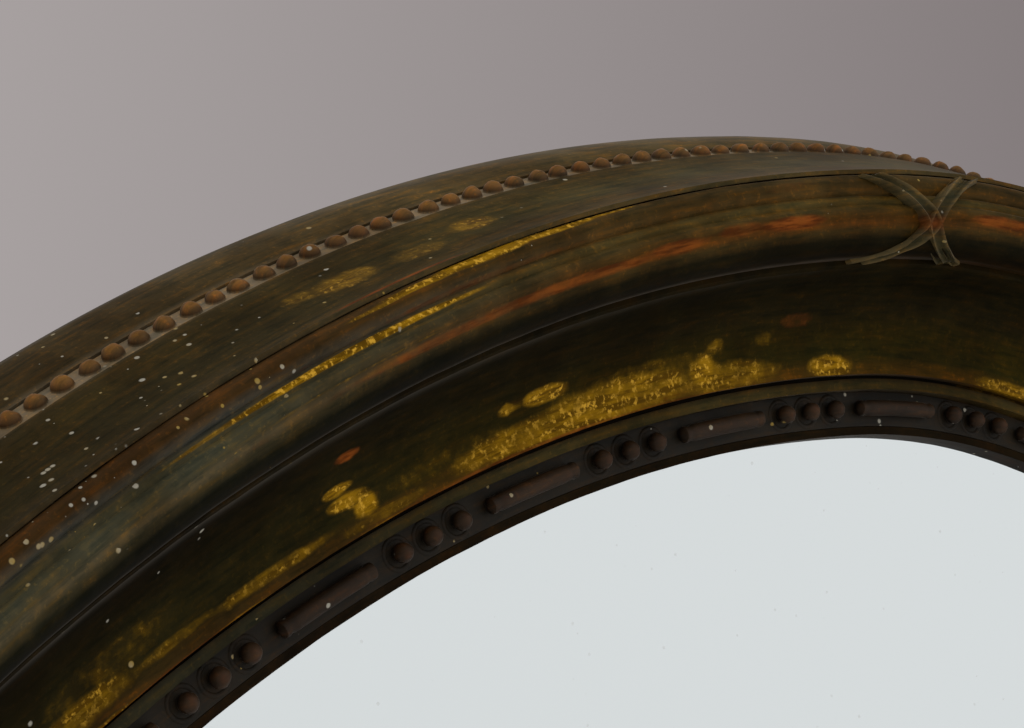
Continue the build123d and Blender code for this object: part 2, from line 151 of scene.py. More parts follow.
# Sections
def slope_point(along, lift):
    turn = math.radians(SLOPE_ANGLE)
    return (FRIEZE_IN[0] + along * math.cos(turn) + lift * math.sin(turn),
            FRIEZE_IN[1] - along * math.sin(turn) + lift * math.cos(turn))


def bowed(start, end, bulge, step):
    """Points from start to end on an arc, with its bulge to the right of travel."""
    start, end = np.array(start, float), np.array(end, float)
    chord = np.linalg.norm(end - start)
    count = max(1, round(chord * (1 + 2.5 * (bulge / chord) ** 2) / step))
    share = np.linspace(0, 1, count + 1)[1:, None]
    if abs(bulge) < 1e-6:
        return start + (end - start) * share
    unit = (end - start) / chord
    side = np.array([unit[1], -unit[0]])
    radius = (chord * chord / 4 + bulge * bulge) / (2 * abs(bulge))
    half = math.atan2(chord / 2, radius - abs(bulge))
    turn = (share * 2 - 1) * half
    lift = radius * np.cos(turn) - (radius - abs(bulge))
    return (start + end) / 2 + unit * radius * np.sin(turn) + side * lift * math.copysign(1, bulge)


def polyline(points, step=STEP_ACROSS):
    out = [np.array([points[0][:2]], float)]
    for point in points[1:]:
        out.append(bowed(out[-1][-1], point[:2], point[2] if len(point) > 2 else 0.0, step))
    return np.concatenate(out)


def soften(line, reach):
    """Rounds the corners of an open line as worn gesso does, its two ends kept."""
    length = np.concatenate([[0], np.cumsum(np.linalg.norm(np.diff(line, axis=0), axis=1))])
    weight = np.exp(-0.5 * ((length[:, None] - length[None, :]) / reach) ** 2)
    spacing = np.gradient(length)
    weight *= spacing[None, :]
    smooth = weight @ line / weight.sum(1, keepdims=True)
    fade = np.clip(np.minimum(length, length[-1] - length) / (3 * reach), 0, 1)[:, None]
    return line * (1 - fade) + smooth * fade


def core_front():
    end = FRIEZE_LENGTH + PEARL_CHANNEL
    return [(0, 0), (0, 3.0), (1.9, 3.0), (1.9, 2.5), (9.9, 2.5), (9.9, 6.2), (12.4, 6.2), (12.4, 5.0),
            (13.2, 5.0), (13.2, 7.7), (34.4, 23.9, 5.0), (35.0, 24.5), (53.5, 24.5), (53.5, 31.4), FRIEZE_IN,
            (*slope_point(FRIEZE_LENGTH, 0), 0.6), slope_point(FRIEZE_LENGTH, -1.7), slope_point(end, -1.7),
            slope_point(end, 0), (*FRAME_EDGE, -0.9)]


def core_back():
    return [FRAME_EDGE, (72.0, -14.2), (71.2, -FRAME_BACK), (LEDGE_OUT, -FRAME_BACK), (LEDGE_OUT, -BOARD_BACK),
            (REBATE, -BOARD_BACK), (REBATE, 0), (0, 0)]


def reed_front():
    """The reeds from the inner one, a full torus over the cove, to the outer one beside the fillet."""
    return [(36.0, 24.55), (36.0, 26.0), (43.0, 33.7, -2.3), (46.3, 33.3, -1.1), (48.5, 32.4, -0.7),
            (53.4, 30.7, -1.8), (53.4, 24.55)]


# Wear. A patch is (station, across, half length, half width, strength), in millimetres on the moulding's face.
GOLD_PATCHES = [
    (755, 28.0, 7.0, 2.4, 1.0), (797, 30.6, 4.0, 3.4, 1.0), (777, 35.4, 3.4, 1.8, 0.62), (793, 35.4, 3.2, 2.0, 0.62),
    (790, 28.6, 18, 3.2, 0.72), (825, 29.6, 26, 4.4, 0.84), (850, 28.8, 26, 3.0, 0.80), (815, 33.4, 22, 2.6, 0.55),
    (846, 35.6, 6.4, 1.8, 1.0), (857, 35.4, 2.4, 1.4, 0.95), (874, 31.0, 22, 2.6, 0.52), (905, 36.1, 3.8, 1.1, 1.0),
    (903, 33.2, 4.8, 1.5, 1.0), (899, 30.6, 3.2, 2.2, 1.0), (894, 27.4, 14, 1.3, 0.62), (925, 29.0, 17, 1.3, 0.72),
    (952, 29.6, 12, 1.2, 0.60), (966, 34.4, 20, 3.8, 0.52), (976, 30.0, 14, 2.8, 0.72), (1010, 31.0, 24, 3.6, 0.55),
    (735, 36.0, 13, 3.4, 0.40), (895, 25.4, 9, 0.7, 0.8), (935, 25.4, 10, 0.7, 0.85), (972, 25.6, 9, 0.7, 0.85),
    (835, 82.4, 7, 0.7, 0.85), (851, 82.2, 11, 1.2, 1.25), (868, 82.0, 11, 1.5, 1.3), (884, 81.2, 11, 0.8, 0.95),
    (896, 80.6, 8, 0.45, 0.75), (858, 98.5, 6, 3.4, 0.72), (875, 95.0, 7, 3.2, 0.68), (892, 96.2, 8, 3.8, 0.74),
    (902, 98.0, 4, 2.6, 0.66), (926, 98.0, 2.4, 1.8, 0.5), (905, 74.9, 30, 0.75, 1.1), (936, 74.9, 16, 0.5, 0.75),
    (905, 69.9, 34, 0.4, 0.55), (960, 92.0, 20, 3.0, 0.34), (975, 82.0, 16, 1.6, 0.36), (940, 103.0, 18, 3.0, 0.30),
]
RED_PATCHES = [
    (787, 69.9, 9.0, 1.6, 1.0), (803, 70.2, 7, 1.6, 0.72), (822, 69.4, 9, 1.5, 0.85), (719, 70.0, 11, 1.5, 0.85),
    (850, 68.6, 26, 1.1, 0.80), (885, 68.2, 26, 0.9, 0.72), (925, 68.0, 24, 0.6, 0.45), (889, 85.8, 16, 0.55, 0.90),
    (902, 42.6, 3.2, 1.3, 0.95), (767, 39.0, 6, 2.0, 0.62), (785, 79.6, 10, 1.5, 0.50), (870, 77.2, 30, 0.8, 0.60),
    (915, 77.0, 24, 0.5, 0.45), (850, 25.6, 60, 0.9, 0.75), (960, 25.4, 50, 0.8, 0.70), (800, 24.0, 40, 0.8, 0.50),
]
GOLD_SPOTS = ((31.0, 0.50), (28.0, 0.35), (82.0, 0.30), (97.0, 0.30), (74.8, 0.20), (35.0, 0.25), (25.5, 0.35))
RED_SPOTS = ((69.5, 0.55), (77.2, 0.30), (85.8, 0.35), (25.5, 0.45), (40.0, 0.20))


def spread_patches(spots, count, seed):
    """More patches of the same kinds round the rest of the oval."""
    draw = random.Random(seed)
    out = []
    for _ in range(count):
        station = draw.uniform(1030, OVAL_LENGTH + 690) % OVAL_LENGTH
        across, weight = draw.choices(spots, [spot[1] for spot in spots])[0]
        half = draw.uniform(4, 24)
        width = draw.uniform(0.5, 1.4) if across > 60 and across < 90 else draw.uniform(1.2, 3.6)
        out.append((station, across + draw.uniform(-1.2, 1.2) * width, half, width, draw.uniform(0.45, 1.0)))
    return out


def patch_field(patches, along, across):
    """Strength of the patches at every point of a grid of stations and places across."""
    field = np.zeros(np.broadcast(along, across).shape)
    for station, middle, half, width, strength in patches:
        apart = around(along, station)
        reach = (apart / half) ** 2 + ((across - middle) / width) ** 2
        field = np.maximum(field, strength * np.clip(1.25 - 0.55 * reach, 0, 1))
    return field


GOLD_PATCHES += spread_patches(GOLD_SPOTS, 92, 11)
RED_PATCHES += spread_patches(RED_SPOTS, 46, 12)


# Tones across the face: (across, low on the left side, further up and round), linear. Besides the finish's own
# colours both rows carry painted light: painted shade in the groove, at the top of the cove and under the inner reed,
# painted highlights on the reeds, and a painted sheen on the outer band.
FACE_TONES_WITH_PAINTED_LIGHT = [
    (0.0, (0.012, 0.006, 0.002), (0.014, 0.007, 0.002)), (4.0, (0.011, 0.006, 0.002), (0.012, 0.007, 0.002)),
    (7.0, (0.015, 0.009, 0.003), (0.016, 0.009, 0.002)), (14.0, (0.024, 0.017, 0.008), (0.046, 0.026, 0.006)),
    (19.8, (0.024, 0.022, 0.011), (0.046, 0.034, 0.010)), (21.4, (0.016, 0.012, 0.006), (0.020, 0.012, 0.004)),
    # 23.0: painted shade in the groove at the foot of the cove
    (23.0, (0.006, 0.004, 0.002), (0.006, 0.004, 0.002)), (26.0, (0.050, 0.027, 0.006), (0.080, 0.040, 0.004)),
    (30.0, (0.019, 0.015, 0.003), (0.024, 0.019, 0.002)), (35.0, (0.017, 0.014, 0.003), (0.023, 0.016, 0.001)),
    # 41.0 to 55.0: darker towards the top of the cove, painted shade under the reeds
    (41.0, (0.012, 0.009, 0.002), (0.014, 0.010, 0.002)), (50.0, (0.009, 0.006, 0.002), (0.009, 0.007, 0.002)),
    (55.0, (0.013, 0.009, 0.003), (0.013, 0.009, 0.002)), (56.6, (0.026, 0.014, 0.004), (0.026, 0.013, 0.003)),
    # 60.5 and 65.0: painted shade on the underside of the inner reed
    (60.5, (0.006, 0.004, 0.002), (0.009, 0.006, 0.002)), (65.0, (0.006, 0.006, 0.002), (0.010, 0.008, 0.002)),
    # 67.2 and 68.5: painted highlight along the crest of the inner reed
    (67.2, (0.040, 0.032, 0.014), (0.050, 0.030, 0.007)), (68.5, (0.085, 0.066, 0.034), (0.095, 0.038, 0.006)),
    (70.2, (0.055, 0.049, 0.026), (0.066, 0.032, 0.005)), (73.0, (0.052, 0.051, 0.030), (0.074, 0.050, 0.014)),
    # 77.0: the pale blue-grey line beside the valley between the reeds is a painted highlight
    (75.0, (0.044, 0.038, 0.018), (0.072, 0.050, 0.013)), (77.0, (0.058, 0.055, 0.044), (0.084, 0.048, 0.013)),
    (79.5, (0.042, 0.021, 0.005), (0.050, 0.030, 0.007)), (82.0, (0.060, 0.030, 0.010), (0.066, 0.042, 0.013)),
    (83.6, (0.040, 0.024, 0.009), (0.060, 0.040, 0.014)), (84.7, (0.045, 0.032, 0.014), (0.076, 0.052, 0.018)),
    (89.0, (0.032, 0.024, 0.007), (0.065, 0.042, 0.011)), (96.0, (0.032, 0.024, 0.007), (0.059, 0.047, 0.013)),
    (104.0, (0.041, 0.028, 0.006), (0.056, 0.040, 0.011)), (107.8, (0.045, 0.032, 0.011), (0.059, 0.041, 0.014)),
    (109.4, (0.110, 0.078, 0.042), (0.080, 0.050, 0.018)), (112.0, (0.050, 0.034, 0.018), (0.060, 0.036, 0.014)),
    (118.4, (0.100, 0.076, 0.046), (0.080, 0.056, 0.026)), (120.0, (0.044, 0.029, 0.010), (0.090, 0.062, 0.022)),
    # 126.0 and 133.0, second row: painted sheen on the outer band seen at a grazing angle
    (126.0, (0.048, 0.032, 0.011), (0.105, 0.074, 0.030)), (133.0, (0.066, 0.046, 0.018), (0.118, 0.094, 0.058)),
    (150.0, (0.050, 0.040, 0.024), (0.060, 0.048, 0.030)),
]
# Stations low on the left side where the cooler tones, the dust and the flecks are centred
LOW_TONE_MIDDLE, DUST_MIDDLE, FLECK_MIDDLE = 1010, 1000, 990
# Dust film across the face: (across, strength)
FACE_DUST = [(0, 0.15), (15, 0.25), (18, 0.55), (21, 0.5), (22, 0.1), (26, 0.12), (45, 0.08), (57, 0.15), (65, 0.3),
             (69, 0.75), (72, 0.9), (75, 0.55), (77, 1.0), (78.4, 0.85), (80, 0.2), (83, 0.3), (85.2, 0.85),
             (86.6, 0.3), (100, 0.25), (108, 0.5), (110, 1.0), (117, 1.0), (119, 0.5), (128, 0.35), (134, 0.8),
             (150, 0.8)]


def ramp(table, across):
    return np.interp(across, [row[0] for row in table], [row[1] for row in table])


def face_tone_with_painted_light(along, across):
    """Tone of a place on the face, painted shade, highlights and sheen included: one row of tones low on the left
    side, the other further round.
    """
    places = [row[0] for row in FACE_TONES_WITH_PAINTED_LIGHT]
    near, far = (np.stack([np.interp(across, places, [row[column][k] for row in FACE_TONES_WITH_PAINTED_LIGHT]) for k in range(3)], -1)
                 for column in (1, 2))
    apart = np.abs(around(along, LOW_TONE_MIDDLE))
    share = np.clip((apart - 65) / 120, 0, 1)[..., None]
    return near + (far - near) * share * share * (3 - 2 * share)


def dust_along(along):
    """The film is thickest low on the left side, and lies unevenly round the oval."""
    apart = around(along, DUST_MIDDLE)
    return 0.35 + 0.65 * np.exp(-(apart / 130) ** 2) + 0.22 * np.cos(along * 2 * math.pi * 3 / OVAL_LENGTH)


# Mesh making
def link(name, vertices, faces, body, smooth_angle=40.0):
    mesh = bpy.data.meshes.new(name)
    mesh.from_pydata(vertices, [], faces)
    mesh.update()
    piece = bpy.data.objects.new(name, mesh)
    bpy.context.scene.collection.objects.link(piece)
    mesh.shade_smooth()
    mesh.set_sharp_from_angle(angle=math.radians(smooth_angle))
    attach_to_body(piece, body)
    return piece


def give(mesh, name, values, kind="FLOAT"):
    layer = mesh.attributes.new(name, kind, "POINT")
    if kind == "FLOAT":
        layer.data.foreach_set("value", np.asarray(values, np.float32).ravel())
    else:
        full = np.concatenate([values, np.ones(values.shape[:-1] + (1,))], -1)
        layer.data.foreach_set("color", full.astype(np.float32).ravel())


def wander(points, size, depth):
    """Hand-laid unevenness: a smooth shift that depends on the place alone, so that neighbouring pieces meet."""
    return np.array([depth * noise.noise(Vector(point) / (size * MM)) for point in points])


def sweep(name, arc, line, across, closing, body, uneven=0.12, step=STEP_ALONG):
    """Turns a section line along an arc; closing points shut it at the back. Stores where each point lies."""
    count = max(4, round(arc.length() / step))
    angles = np.linspace(arc.start, arc.end, count + 1)
    loop = np.concatenate([line, closing]) if len(closing) else line
    width = len(loop)
    normal = np.gradient(line, axis=0)
    normal = np.stack([-normal[:, 1], normal[:, 0]], -1)
    normal /= np.maximum(np.linalg.norm(normal, axis=1, keepdims=True), 1e-9)
    grid = arc.points(angles[:, None], loop[None, :, 0], loop[None, :, 1])
    fade = np.clip(np.minimum(np.arange(len(line)), np.arange(len(line))[::-1]) / 6, 0, 1)
    front = grid[:, :len(line)].reshape(-1, 3)
    shift = wander(front, 14, 1.0) + 0.5 * wander(front, 4, 1.0)
    shift = (shift.reshape(count + 1, -1) - 0.35) * uneven * fade
    moved_d = loop[None, :, 0] + np.pad(shift * normal[:, 0], ((0, 0), (0, width - len(line))))
    moved_h = loop[None, :, 1] + np.pad(shift * normal[:, 1], ((0, 0), (0, width - len(line))))
    grid = arc.points(np.broadcast_to(angles[:, None], moved_d.shape), moved_d, moved_h)
    index = np.arange((count + 1) * width).reshape(count + 1, width)
    after = np.roll(index, -1, axis=1)
    quads = np.stack([index[:-1], after[:-1], after[1:], index[1:]], -1).reshape(-1, 4)
    faces = quads.tolist() + [index[0][::-1].tolist(), index[-1].tolist()]
    piece = link(name, grid.reshape(-1, 3), faces, body)
    mesh = piece.data
    stations = arc.station + np.linspace(0, arc.length(), count + 1)
    along = np.broadcast_to(stations[:, None], (count + 1, width))
    over = np.broadcast_to(np.concatenate([across, np.full(width - len(line), BACK_PLACE)])[None], along.shape)
    tell_wear(mesh, along, over)
    return piece


def tell_wear(mesh, along, over):
    give(mesh, "along", along)
    give(mesh, "across", over)
    # the tone attribute carries the face tones together with their painted shade, highlights and sheen
    give(mesh, "tone", face_tone_with_painted_light(along, over).reshape(-1, 3), "FLOAT_COLOR")
    give(mesh, "gold", patch_field(GOLD_PATCHES, along, over))
    give(mesh, "red", patch_field(RED_PATCHES, along, over))
    give(mesh, "dust", ramp(FACE_DUST, over) * dust_along(along))
    apart = around(along, FLECK_MIDDLE)
    give(mesh, "fleck", (0.06 + np.exp(-(apart / 68) ** 2)) * (0.12 + 0.88 * np.clip((over - 66) / 12, 0, 1))
         * np.clip((128 - over) / 14, 0.15, 1))


def running_length(line, start):
    return start + np.concatenate([[0], np.cumsum(np.linalg.norm(np.diff(line, axis=0), axis=1))])


# Small ornament: balls and reels as real rounds set on the moulding
def add_round(build, radii, matrix, sides=14, rings=9, wobble=0.0, seed=0):
    """A round of three radii, sunk where its bed is, slightly irregular as cast composition is."""
    made = bmesh.ops.create_uvsphere(build, u_segments=sides, v_segments=rings, radius=1.0)
    for vertex in made["verts"]:
        spot = vertex.co.copy()
        swell = 1 + wobble * noise.noise(spot * 1.6 + Vector((seed * 3.7, seed * 1.3, 0)))
        vertex.co = matrix @ Vector((spot.x * radii[0], spot.y * radii[1], spot.z * radii[2]))
        if wobble:
            centre = matrix.translation
            vertex.co = centre + (vertex.co - centre) * swell
    return made["verts"]


def add_rings(build, rows, joined=False):
    """Skin over closed rows of corners: capped at both ends, or joined from the last row to the first."""
    for one, two in zip(rows, rows[1:] + (rows[:1] if joined else [])):
        for k in range(len(one)):
            after = (k + 1) % len(one)
            build.faces.new((one[k], one[after], two[after], two[k]))
    if not joined:
        build.faces.new(rows[0][::-1])
        build.faces.new(rows[-1])


def basis(station, d, h, tilt=0.0):
    """Matrix in metres with X along the moulding, Z out of its face and Y across it."""
    along, outward, forward = directions(station)
    turn = math.radians(tilt)
    out_of_face = forward * math.cos(turn) + outward * math.sin(turn)
    across = outward * math.cos(turn) - forward * math.sin(turn)
    matrix = Matrix((along, across, out_of_face)).transposed().to_4x4()
    matrix.translation = place(station, d, h)
    return matrix @ Matrix.Scale(MM, 4)


def ring_piece(name, build, replaced):
    mesh = bpy.data.meshes.new(name)
    build.normal_update()
    build.to_mesh(mesh)
    build.free()
    piece = bpy.data.objects.new(name, mesh)
    bpy.context.scene.collection.objects.link(piece)
    mesh.shade_smooth()
    mesh.set_sharp_from_angle(angle=math.radians(50.0))
    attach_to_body(piece, "frame")
    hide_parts(replaced)
    return piece


def tell_ornament(piece, arc, span):
    """Stores stations, the place across and the height above the bed for an ornament's points."""
    mesh = piece.data
    spots = np.empty(len(mesh.vertices) * 3)
    mesh.vertices.foreach_get("co", spots)
    spots = spots.reshape(-1, 3) / MM
    reach = np.hypot(spots[:, 0] - arc.x, spots[:, 2] - arc.z)
    turn = np.degrees(np.arctan2(spots[:, 2] - arc.z, spots[:, 0] - arc.x))
    middle = (arc.start + arc.end) / 2
    turn = (turn - middle + 180) % 360 - 180 + middle
    along = arc.station + np.radians(turn - arc.start) * (arc.radius + REFERENCE_D)
    d, h = reach - arc.radius, -spots[:, 1] - WALL_TO_GLASS
    low, high, crest = span(d, h)
    give(mesh, "along", along)
    give(mesh, "across", low)
    give(mesh, "crest", np.clip(crest, 0, 1))
    give(mesh, "gap", np.clip(high, 0, 1))
    give(mesh, "dust", np.clip(dust_along(along), 0, 1))


PEARL_RADIUS = 2.25
PEARL_PITCH = 6.0
STRIP_GAP, STRIP_FLOOR, STRIP_TOP = 0.25, -1.65, -0.5
PEARL_D, PEARL_H = slope_point(FRIEZE_LENGTH + PEARL_CHANNEL / 2, -PEARL_LOW)


def make_pearl_row(arc):
    """Pearls set close in their channel, on a dusty strip."""
    build = bmesh.new()
    draw = random.Random("pearls " + arc.name)
    run = (arc.radius + PEARL_D) * math.radians(arc.end - arc.start)
    count = round(run / PEARL_PITCH)
    for index in range(count):
        station = arc.station + arc.length() * (index + 0.5 + draw.uniform(-0.06, 0.06)) / count
        matrix = basis(station, PEARL_D + draw.uniform(-0.12, 0.12), PEARL_H + draw.uniform(-0.15, 0.0), SLOPE_ANGLE)
        matrix = matrix @ Matrix.Rotation(draw.uniform(0, 6.28), 4, "Z")
        size = PEARL_RADIUS * draw.uniform(0.93, 1.0)
        add_round(build, (size, size * draw.uniform(0.94, 1.0), size * draw.uniform(0.92, 1.0)), matrix, 16, 10,
                  0.10, index)
    low, high = FRIEZE_LENGTH + STRIP_GAP, FRIEZE_LENGTH + PEARL_CHANNEL - STRIP_GAP
    add_strip(build, arc, [slope_point(low, STRIP_FLOOR), slope_point(low, STRIP_TOP), slope_point(high, STRIP_TOP),
                           slope_point(high, STRIP_FLOOR)])
    piece = ring_piece("pearls_" + arc.name, build, "pearl_row_" + arc.name)

    def span(d, h):
        turn = math.radians(SLOPE_ANGLE)
        lift = (d - FRIEZE_IN[0]) * math.sin(turn) + (h - FRIEZE_IN[1]) * math.cos(turn)
        along_slope = (d - FRIEZE_IN[0]) * math.cos(turn) - (h - FRIEZE_IN[1]) * math.sin(turn)
        return 85.2 + along_slope, np.clip((0.2 - lift) / 1.1, 0, 1), np.clip((lift + 0.2) / 1.5, 0, 1)

    tell_ornament(piece, arc, span)
    piece.data.materials.append(MATERIALS["pearl_tone"])


def add_strip(build, arc, corners, step=4.0):
    count = max(3, round(arc.length() / step))
    angles = np.linspace(arc.start, arc.end, count + 1)
    spots = np.array(corners)
    grid = arc.points(angles[:, None], spots[None, :, 0], spots[None, :, 1])
    add_rings(build, [[build.verts.new(Vector(spot)) for spot in row] for row in grid])


# The sight row: groups of three pearls in sockets, and long reels between them
SIGHT_D = 5.9
SIGHT_PERIOD = 55.0
SIGHT_PITCH = 7.9
SIGHT_PEARL = 2.15
REEL_RADIUS = 1.85
REEL_LENGTH = 25.0
SIGHT_BED = 3.2
SIGHT_FIRST_GROUP = 12.5
SIGHT_PEARL_SINK = 0.35
REEL_SINK = 0.30
REEL_WAIST = (0.16, 0.80, 0.045)  # depth, place and width, as shares of the radius and the half length
REEL_ROUNDING = 0.90  # share of the half length where the end starts to round off
SOCKET_RADIUS = 3.15
SOCKET_HALF_WIDTH = 0.62
SOCKET_HEIGHT = 0.42
SOCKET_SINK = 0.12


def sight_length(arc):
    return (arc.radius + SIGHT_D) * math.radians(arc.end - arc.start)


def sight_run():
    total = sum(sight_length(arc) for arc in ARCS)
    count = round(total / SIGHT_PERIOD)
    period = total / count
    left_middle = total / 2 + sight_length(ARCS[0]) / 2
    middles = [(left_middle - SIGHT_FIRST_GROUP + index * period) % total for index in range(count)]
    return middles, period, total


def make_sight_row(arc):
    build = bmesh.new()
    middles, period, total = sight_run()
    before = sum(sight_length(other) for other in ARCS[:ARCS.index(arc)])
    length = sight_length(arc)
    draw = random.Random("sight " + arc.name)

    def station(run):
        return arc.station + run / length * arc.length()

    for turn in (-total, 0, total):
        for middle in middles:
            for index in (-1, 0, 1):
                run = middle + index * SIGHT_PITCH + turn - before
                if 0 < run < length:
                    matrix = basis(station(run), SIGHT_D, SIGHT_BED + SIGHT_PEARL - SIGHT_PEARL_SINK)
                    radii = [SIGHT_PEARL * draw.uniform(0.95, 1.0) for _ in range(3)]
                    add_round(build, radii, matrix, 20, 12, 0.06, index + middle)
                    add_socket(build, station(run))
            reel = middle + period / 2 + turn - before
            add_reel(build, arc, station, reel, length)
    add_strip(build, arc, [(2.0, 2.45), (9.8, 2.45), (9.8, 3.2), (2.0, 3.2)], 3.0)
    piece = ring_piece("sight_beads_" + arc.name, build, "sight_row_" + arc.name)

    def span(d, h):
        return 4.9 + (d - 1.9) * 1.3, np.clip((4.2 - h) / 1.1, 0, 1), np.clip((h - 4.4) / 2.6, 0, 1)

    tell_ornament(piece, arc, span)
    piece.data.materials.append(MATERIALS["sight_tone"])


def add_socket(build, station):
    """Raised rim of composition round a pearl."""
    matrix = basis(station, SIGHT_D, SIGHT_BED)
    sides, rings = 20, 5
    rows = []
    for k in range(rings):
        turn = math.pi * k / (rings - 1)
        reach = SOCKET_RADIUS - SOCKET_HALF_WIDTH * math.cos(turn)
        lift = SOCKET_HEIGHT * math.sin(turn) - SOCKET_SINK
        rows.append([build.verts.new(matrix @ Vector((reach * math.cos(a), reach * math.sin(a), lift)))
                     for a in (2 * math.pi * i / sides for i in range(sides))])
    add_rings(build, rows, joined=True)


def add_reel(build, arc, station, middle, length):
    """A long reel with a waist near each end, cut where its arc ends."""
    low, high = max(middle - REEL_LENGTH / 2, 0.0), min(middle + REEL_LENGTH / 2, length)
    if high - low < 1.0:
        return
    rows = []
    count = max(6, round((high - low) / 0.8))
    sides = 14
    depth, place_of_waist, width = REEL_WAIST
    for k in range(count + 1):
        run = low + (high - low) * k / count
        share = abs(run - middle) / (REEL_LENGTH / 2)
        swell = REEL_RADIUS * (1.0 - depth * math.exp(-((share - place_of_waist) / width) ** 2))
        swell *= math.sqrt(max(1 - max(0.0, (share - REEL_ROUNDING) / 0.10) ** 2, 0.03))
        matrix = basis(station(run), SIGHT_D, SIGHT_BED + REEL_RADIUS - REEL_SINK)
        rows.append([build.verts.new(matrix @ Vector((0, swell * math.cos(a), swell * math.sin(a))))
                     for a in (2 * math.pi * i / sides for i in range(sides))])
    add_rings(build, rows)


# Crossed ribbon ties
TIE_CREST = (53.3, 33.9)
TIE_FOOT = (34.9, 26.1)
TIE_BULGE = 6.5
TIE_REACH = 15.5
TIE_POINTS, RIBBON_POINTS = 61, 13
RIBBON_HALF_WIDTH, RIBBON_FLARE = 2.55, 0.85
RIBBON_DEPTH = 1.9
TIE_CORNERS = {"upper_right": 1, "upper_left": 4, "lower_left": 5, "lower_right": 0}


def tie_line(count):
    """Section line over the reeds that a tie follows, from the fillet to the cove."""
    line = bowed(TIE_CREST, TIE_FOOT, TIE_BULGE, 0.25)
    line = np.concatenate([[TIE_CREST], line])
    length = running_length(line, 0.0)
    share = np.linspace(0, length[-1], count)
    return np.stack([np.interp(share, length, line[:, k]) for k in range(2)], -1)


def make_tie(corner):
    """Two puckered ribbons that cross on the crest, with rolled edges and a knot where they meet."""
    joint = ARCS[TIE_CORNERS[corner]].station
    build = bmesh.new()
    line = tie_line(TIE_POINTS)
    tangent = np.gradient(line, axis=0)
    normal = np.stack([-tangent[:, 1], tangent[:, 0]], -1)
    normal /= np.linalg.norm(normal, axis=1, keepdims=True)
    if normal[len(line) // 2][1] < 0:
        normal = -normal
    rims, shares = [], []
    for way in (1, -1):
        rows = []
        for k, (spot, side) in enumerate(zip(line, normal)):
            share = 2 * k / (len(line) - 1) - 1
            sweep_s = way * TIE_REACH * (0.25 * share + 0.75 * share * abs(share) ** 0.55)
            half = RIBBON_HALF_WIDTH + RIBBON_FLARE * share * share
            row = []
            for v in np.linspace(-1, 1, RIBBON_POINTS):
                roll = 0.55 * math.exp(-((abs(v) - 0.78) / 0.20) ** 2) - 0.35 * (1 - v * v)
                pucker = 0.28 * math.sin(9 * share + 2.2 * v + way) + 0.22 * math.sin(17 * v * share + 1.3 * way)
                lift = -0.55 + roll + 0.5 * pucker * (0.4 + abs(share)) + 0.5 * math.exp(-(share / 0.16) ** 2)
                lift -= 0.9 * max(0.0, abs(v) - 0.88) / 0.12
                d, h = spot[0] + side[0] * min(lift, 0.0), spot[1] + side[1] * min(lift, 0.0)
                row.append(place(joint + sweep_s + v * half, d, h))
            rows.append(row)
        v = np.abs(np.linspace(-1, 1, RIBBON_POINTS))
        rim = np.broadcast_to(np.exp(-((v - 0.80) / 0.22) ** 2), (len(line), RIBBON_POINTS))
        reach = np.broadcast_to(np.linspace(-1, 1, len(line))[:, None], rim.shape)
        rims += [rim.ravel()] * 2
        shares += [reach.ravel()] * 2
        add_sheet(build, rows, RIBBON_DEPTH * MM)
    piece = ring_piece("crossed_ribbon_" + corner, build, "ribbon_tie_" + corner)
    arc = ARCS[TIE_CORNERS[corner]]

    def span(d, h):
        return 57.5 + (d - 36.0) * 1.5, 0 * d, np.clip((h - 30) / 6, 0, 1)

    tell_ornament(piece, arc, span)
    rim, share = np.concatenate(rims), np.concatenate(shares)
    knot = np.exp(-(share / 0.22) ** 2)
    tone = (np.array((0.042, 0.036, 0.016)) + rim[:, None] * np.array((0.085, 0.058, 0.028))
            - knot[:, None] * np.array((0.012, 0.024, 0.012)))
    give(piece.data, "tone", tone, "FLOAT_COLOR")
    give(piece.data, "gold", rim * np.clip(share - 0.55, 0, 1) * 0.8 * (share < -0.5) + 0.25 * rim)
    give(piece.data, "red", np.clip(0.75 * knot + 0.35 * rim * (np.abs(share) > 0.3), 0, 1))
    piece.data.materials.append(MATERIALS["ribbon_tone"])


def add_sheet(build, rows, depth):
    """A sheet of points given a thickness backward, closed all round."""
    back = Vector((0, depth, 0))
    top = [[build.verts.new(point) for point in row] for row in rows]
    low = [[build.verts.new(point + back) for point in row] for row in rows]
    for grid, flip in ((top, False), (low, True)):
        for one, two in zip(grid, grid[1:]):
            for a, b, c, d in zip(one, one[1:], two[1:], two):
                build.faces.new((d, c, b, a) if flip else (a, b, c, d))
    edge_top = top[0] + [row[-1] for row in top[1:]] + top[-1][-2::-1] + [row[0] for row in top[-2:0:-1]]
    edge_low = low[0] + [row[-1] for row in low[1:]] + low[-1][-2::-1] + [row[0] for row in low[-2:0:-1]]
    for i in range(len(edge_top)):
        j = (i + 1) % len(edge_top)
        build.faces.new((edge_top[j], edge_top[i], edge_low[i], edge_low[j]))
    bmesh.ops.recalc_face_normals(build, faces=build.faces)


# Materials
def node(tree, kind, **settings):
    made = tree.nodes.new(kind)
    for key, value in settings.items():
        setattr(made, key, value)
    return made


def attach(tree, value, socket):
    """Wires an output to a socket, or sets the socket to a number or colour."""
    if isinstance(value, bpy.types.NodeSocket):
        tree.links.new(value, socket)
    elif value is not None:
        socket.default_value = value


def calc(tree, operation, *values, clamp=False):
    made = node(tree, "ShaderNodeMath", operation=operation, use_clamp=clamp)
    for socket, value in zip(made.inputs, values):
        attach(tree, value, socket)
    return made.outputs[0]


def stretch(tree, value, low, high, start=0.0, end=1.0):
    made = node(tree, "ShaderNodeMapRange", interpolation_type="SMOOTHSTEP")
    for socket, number in zip(made.inputs, (value, low, high, start, end)):
        attach(tree, number, socket)
    return made.outputs[0]


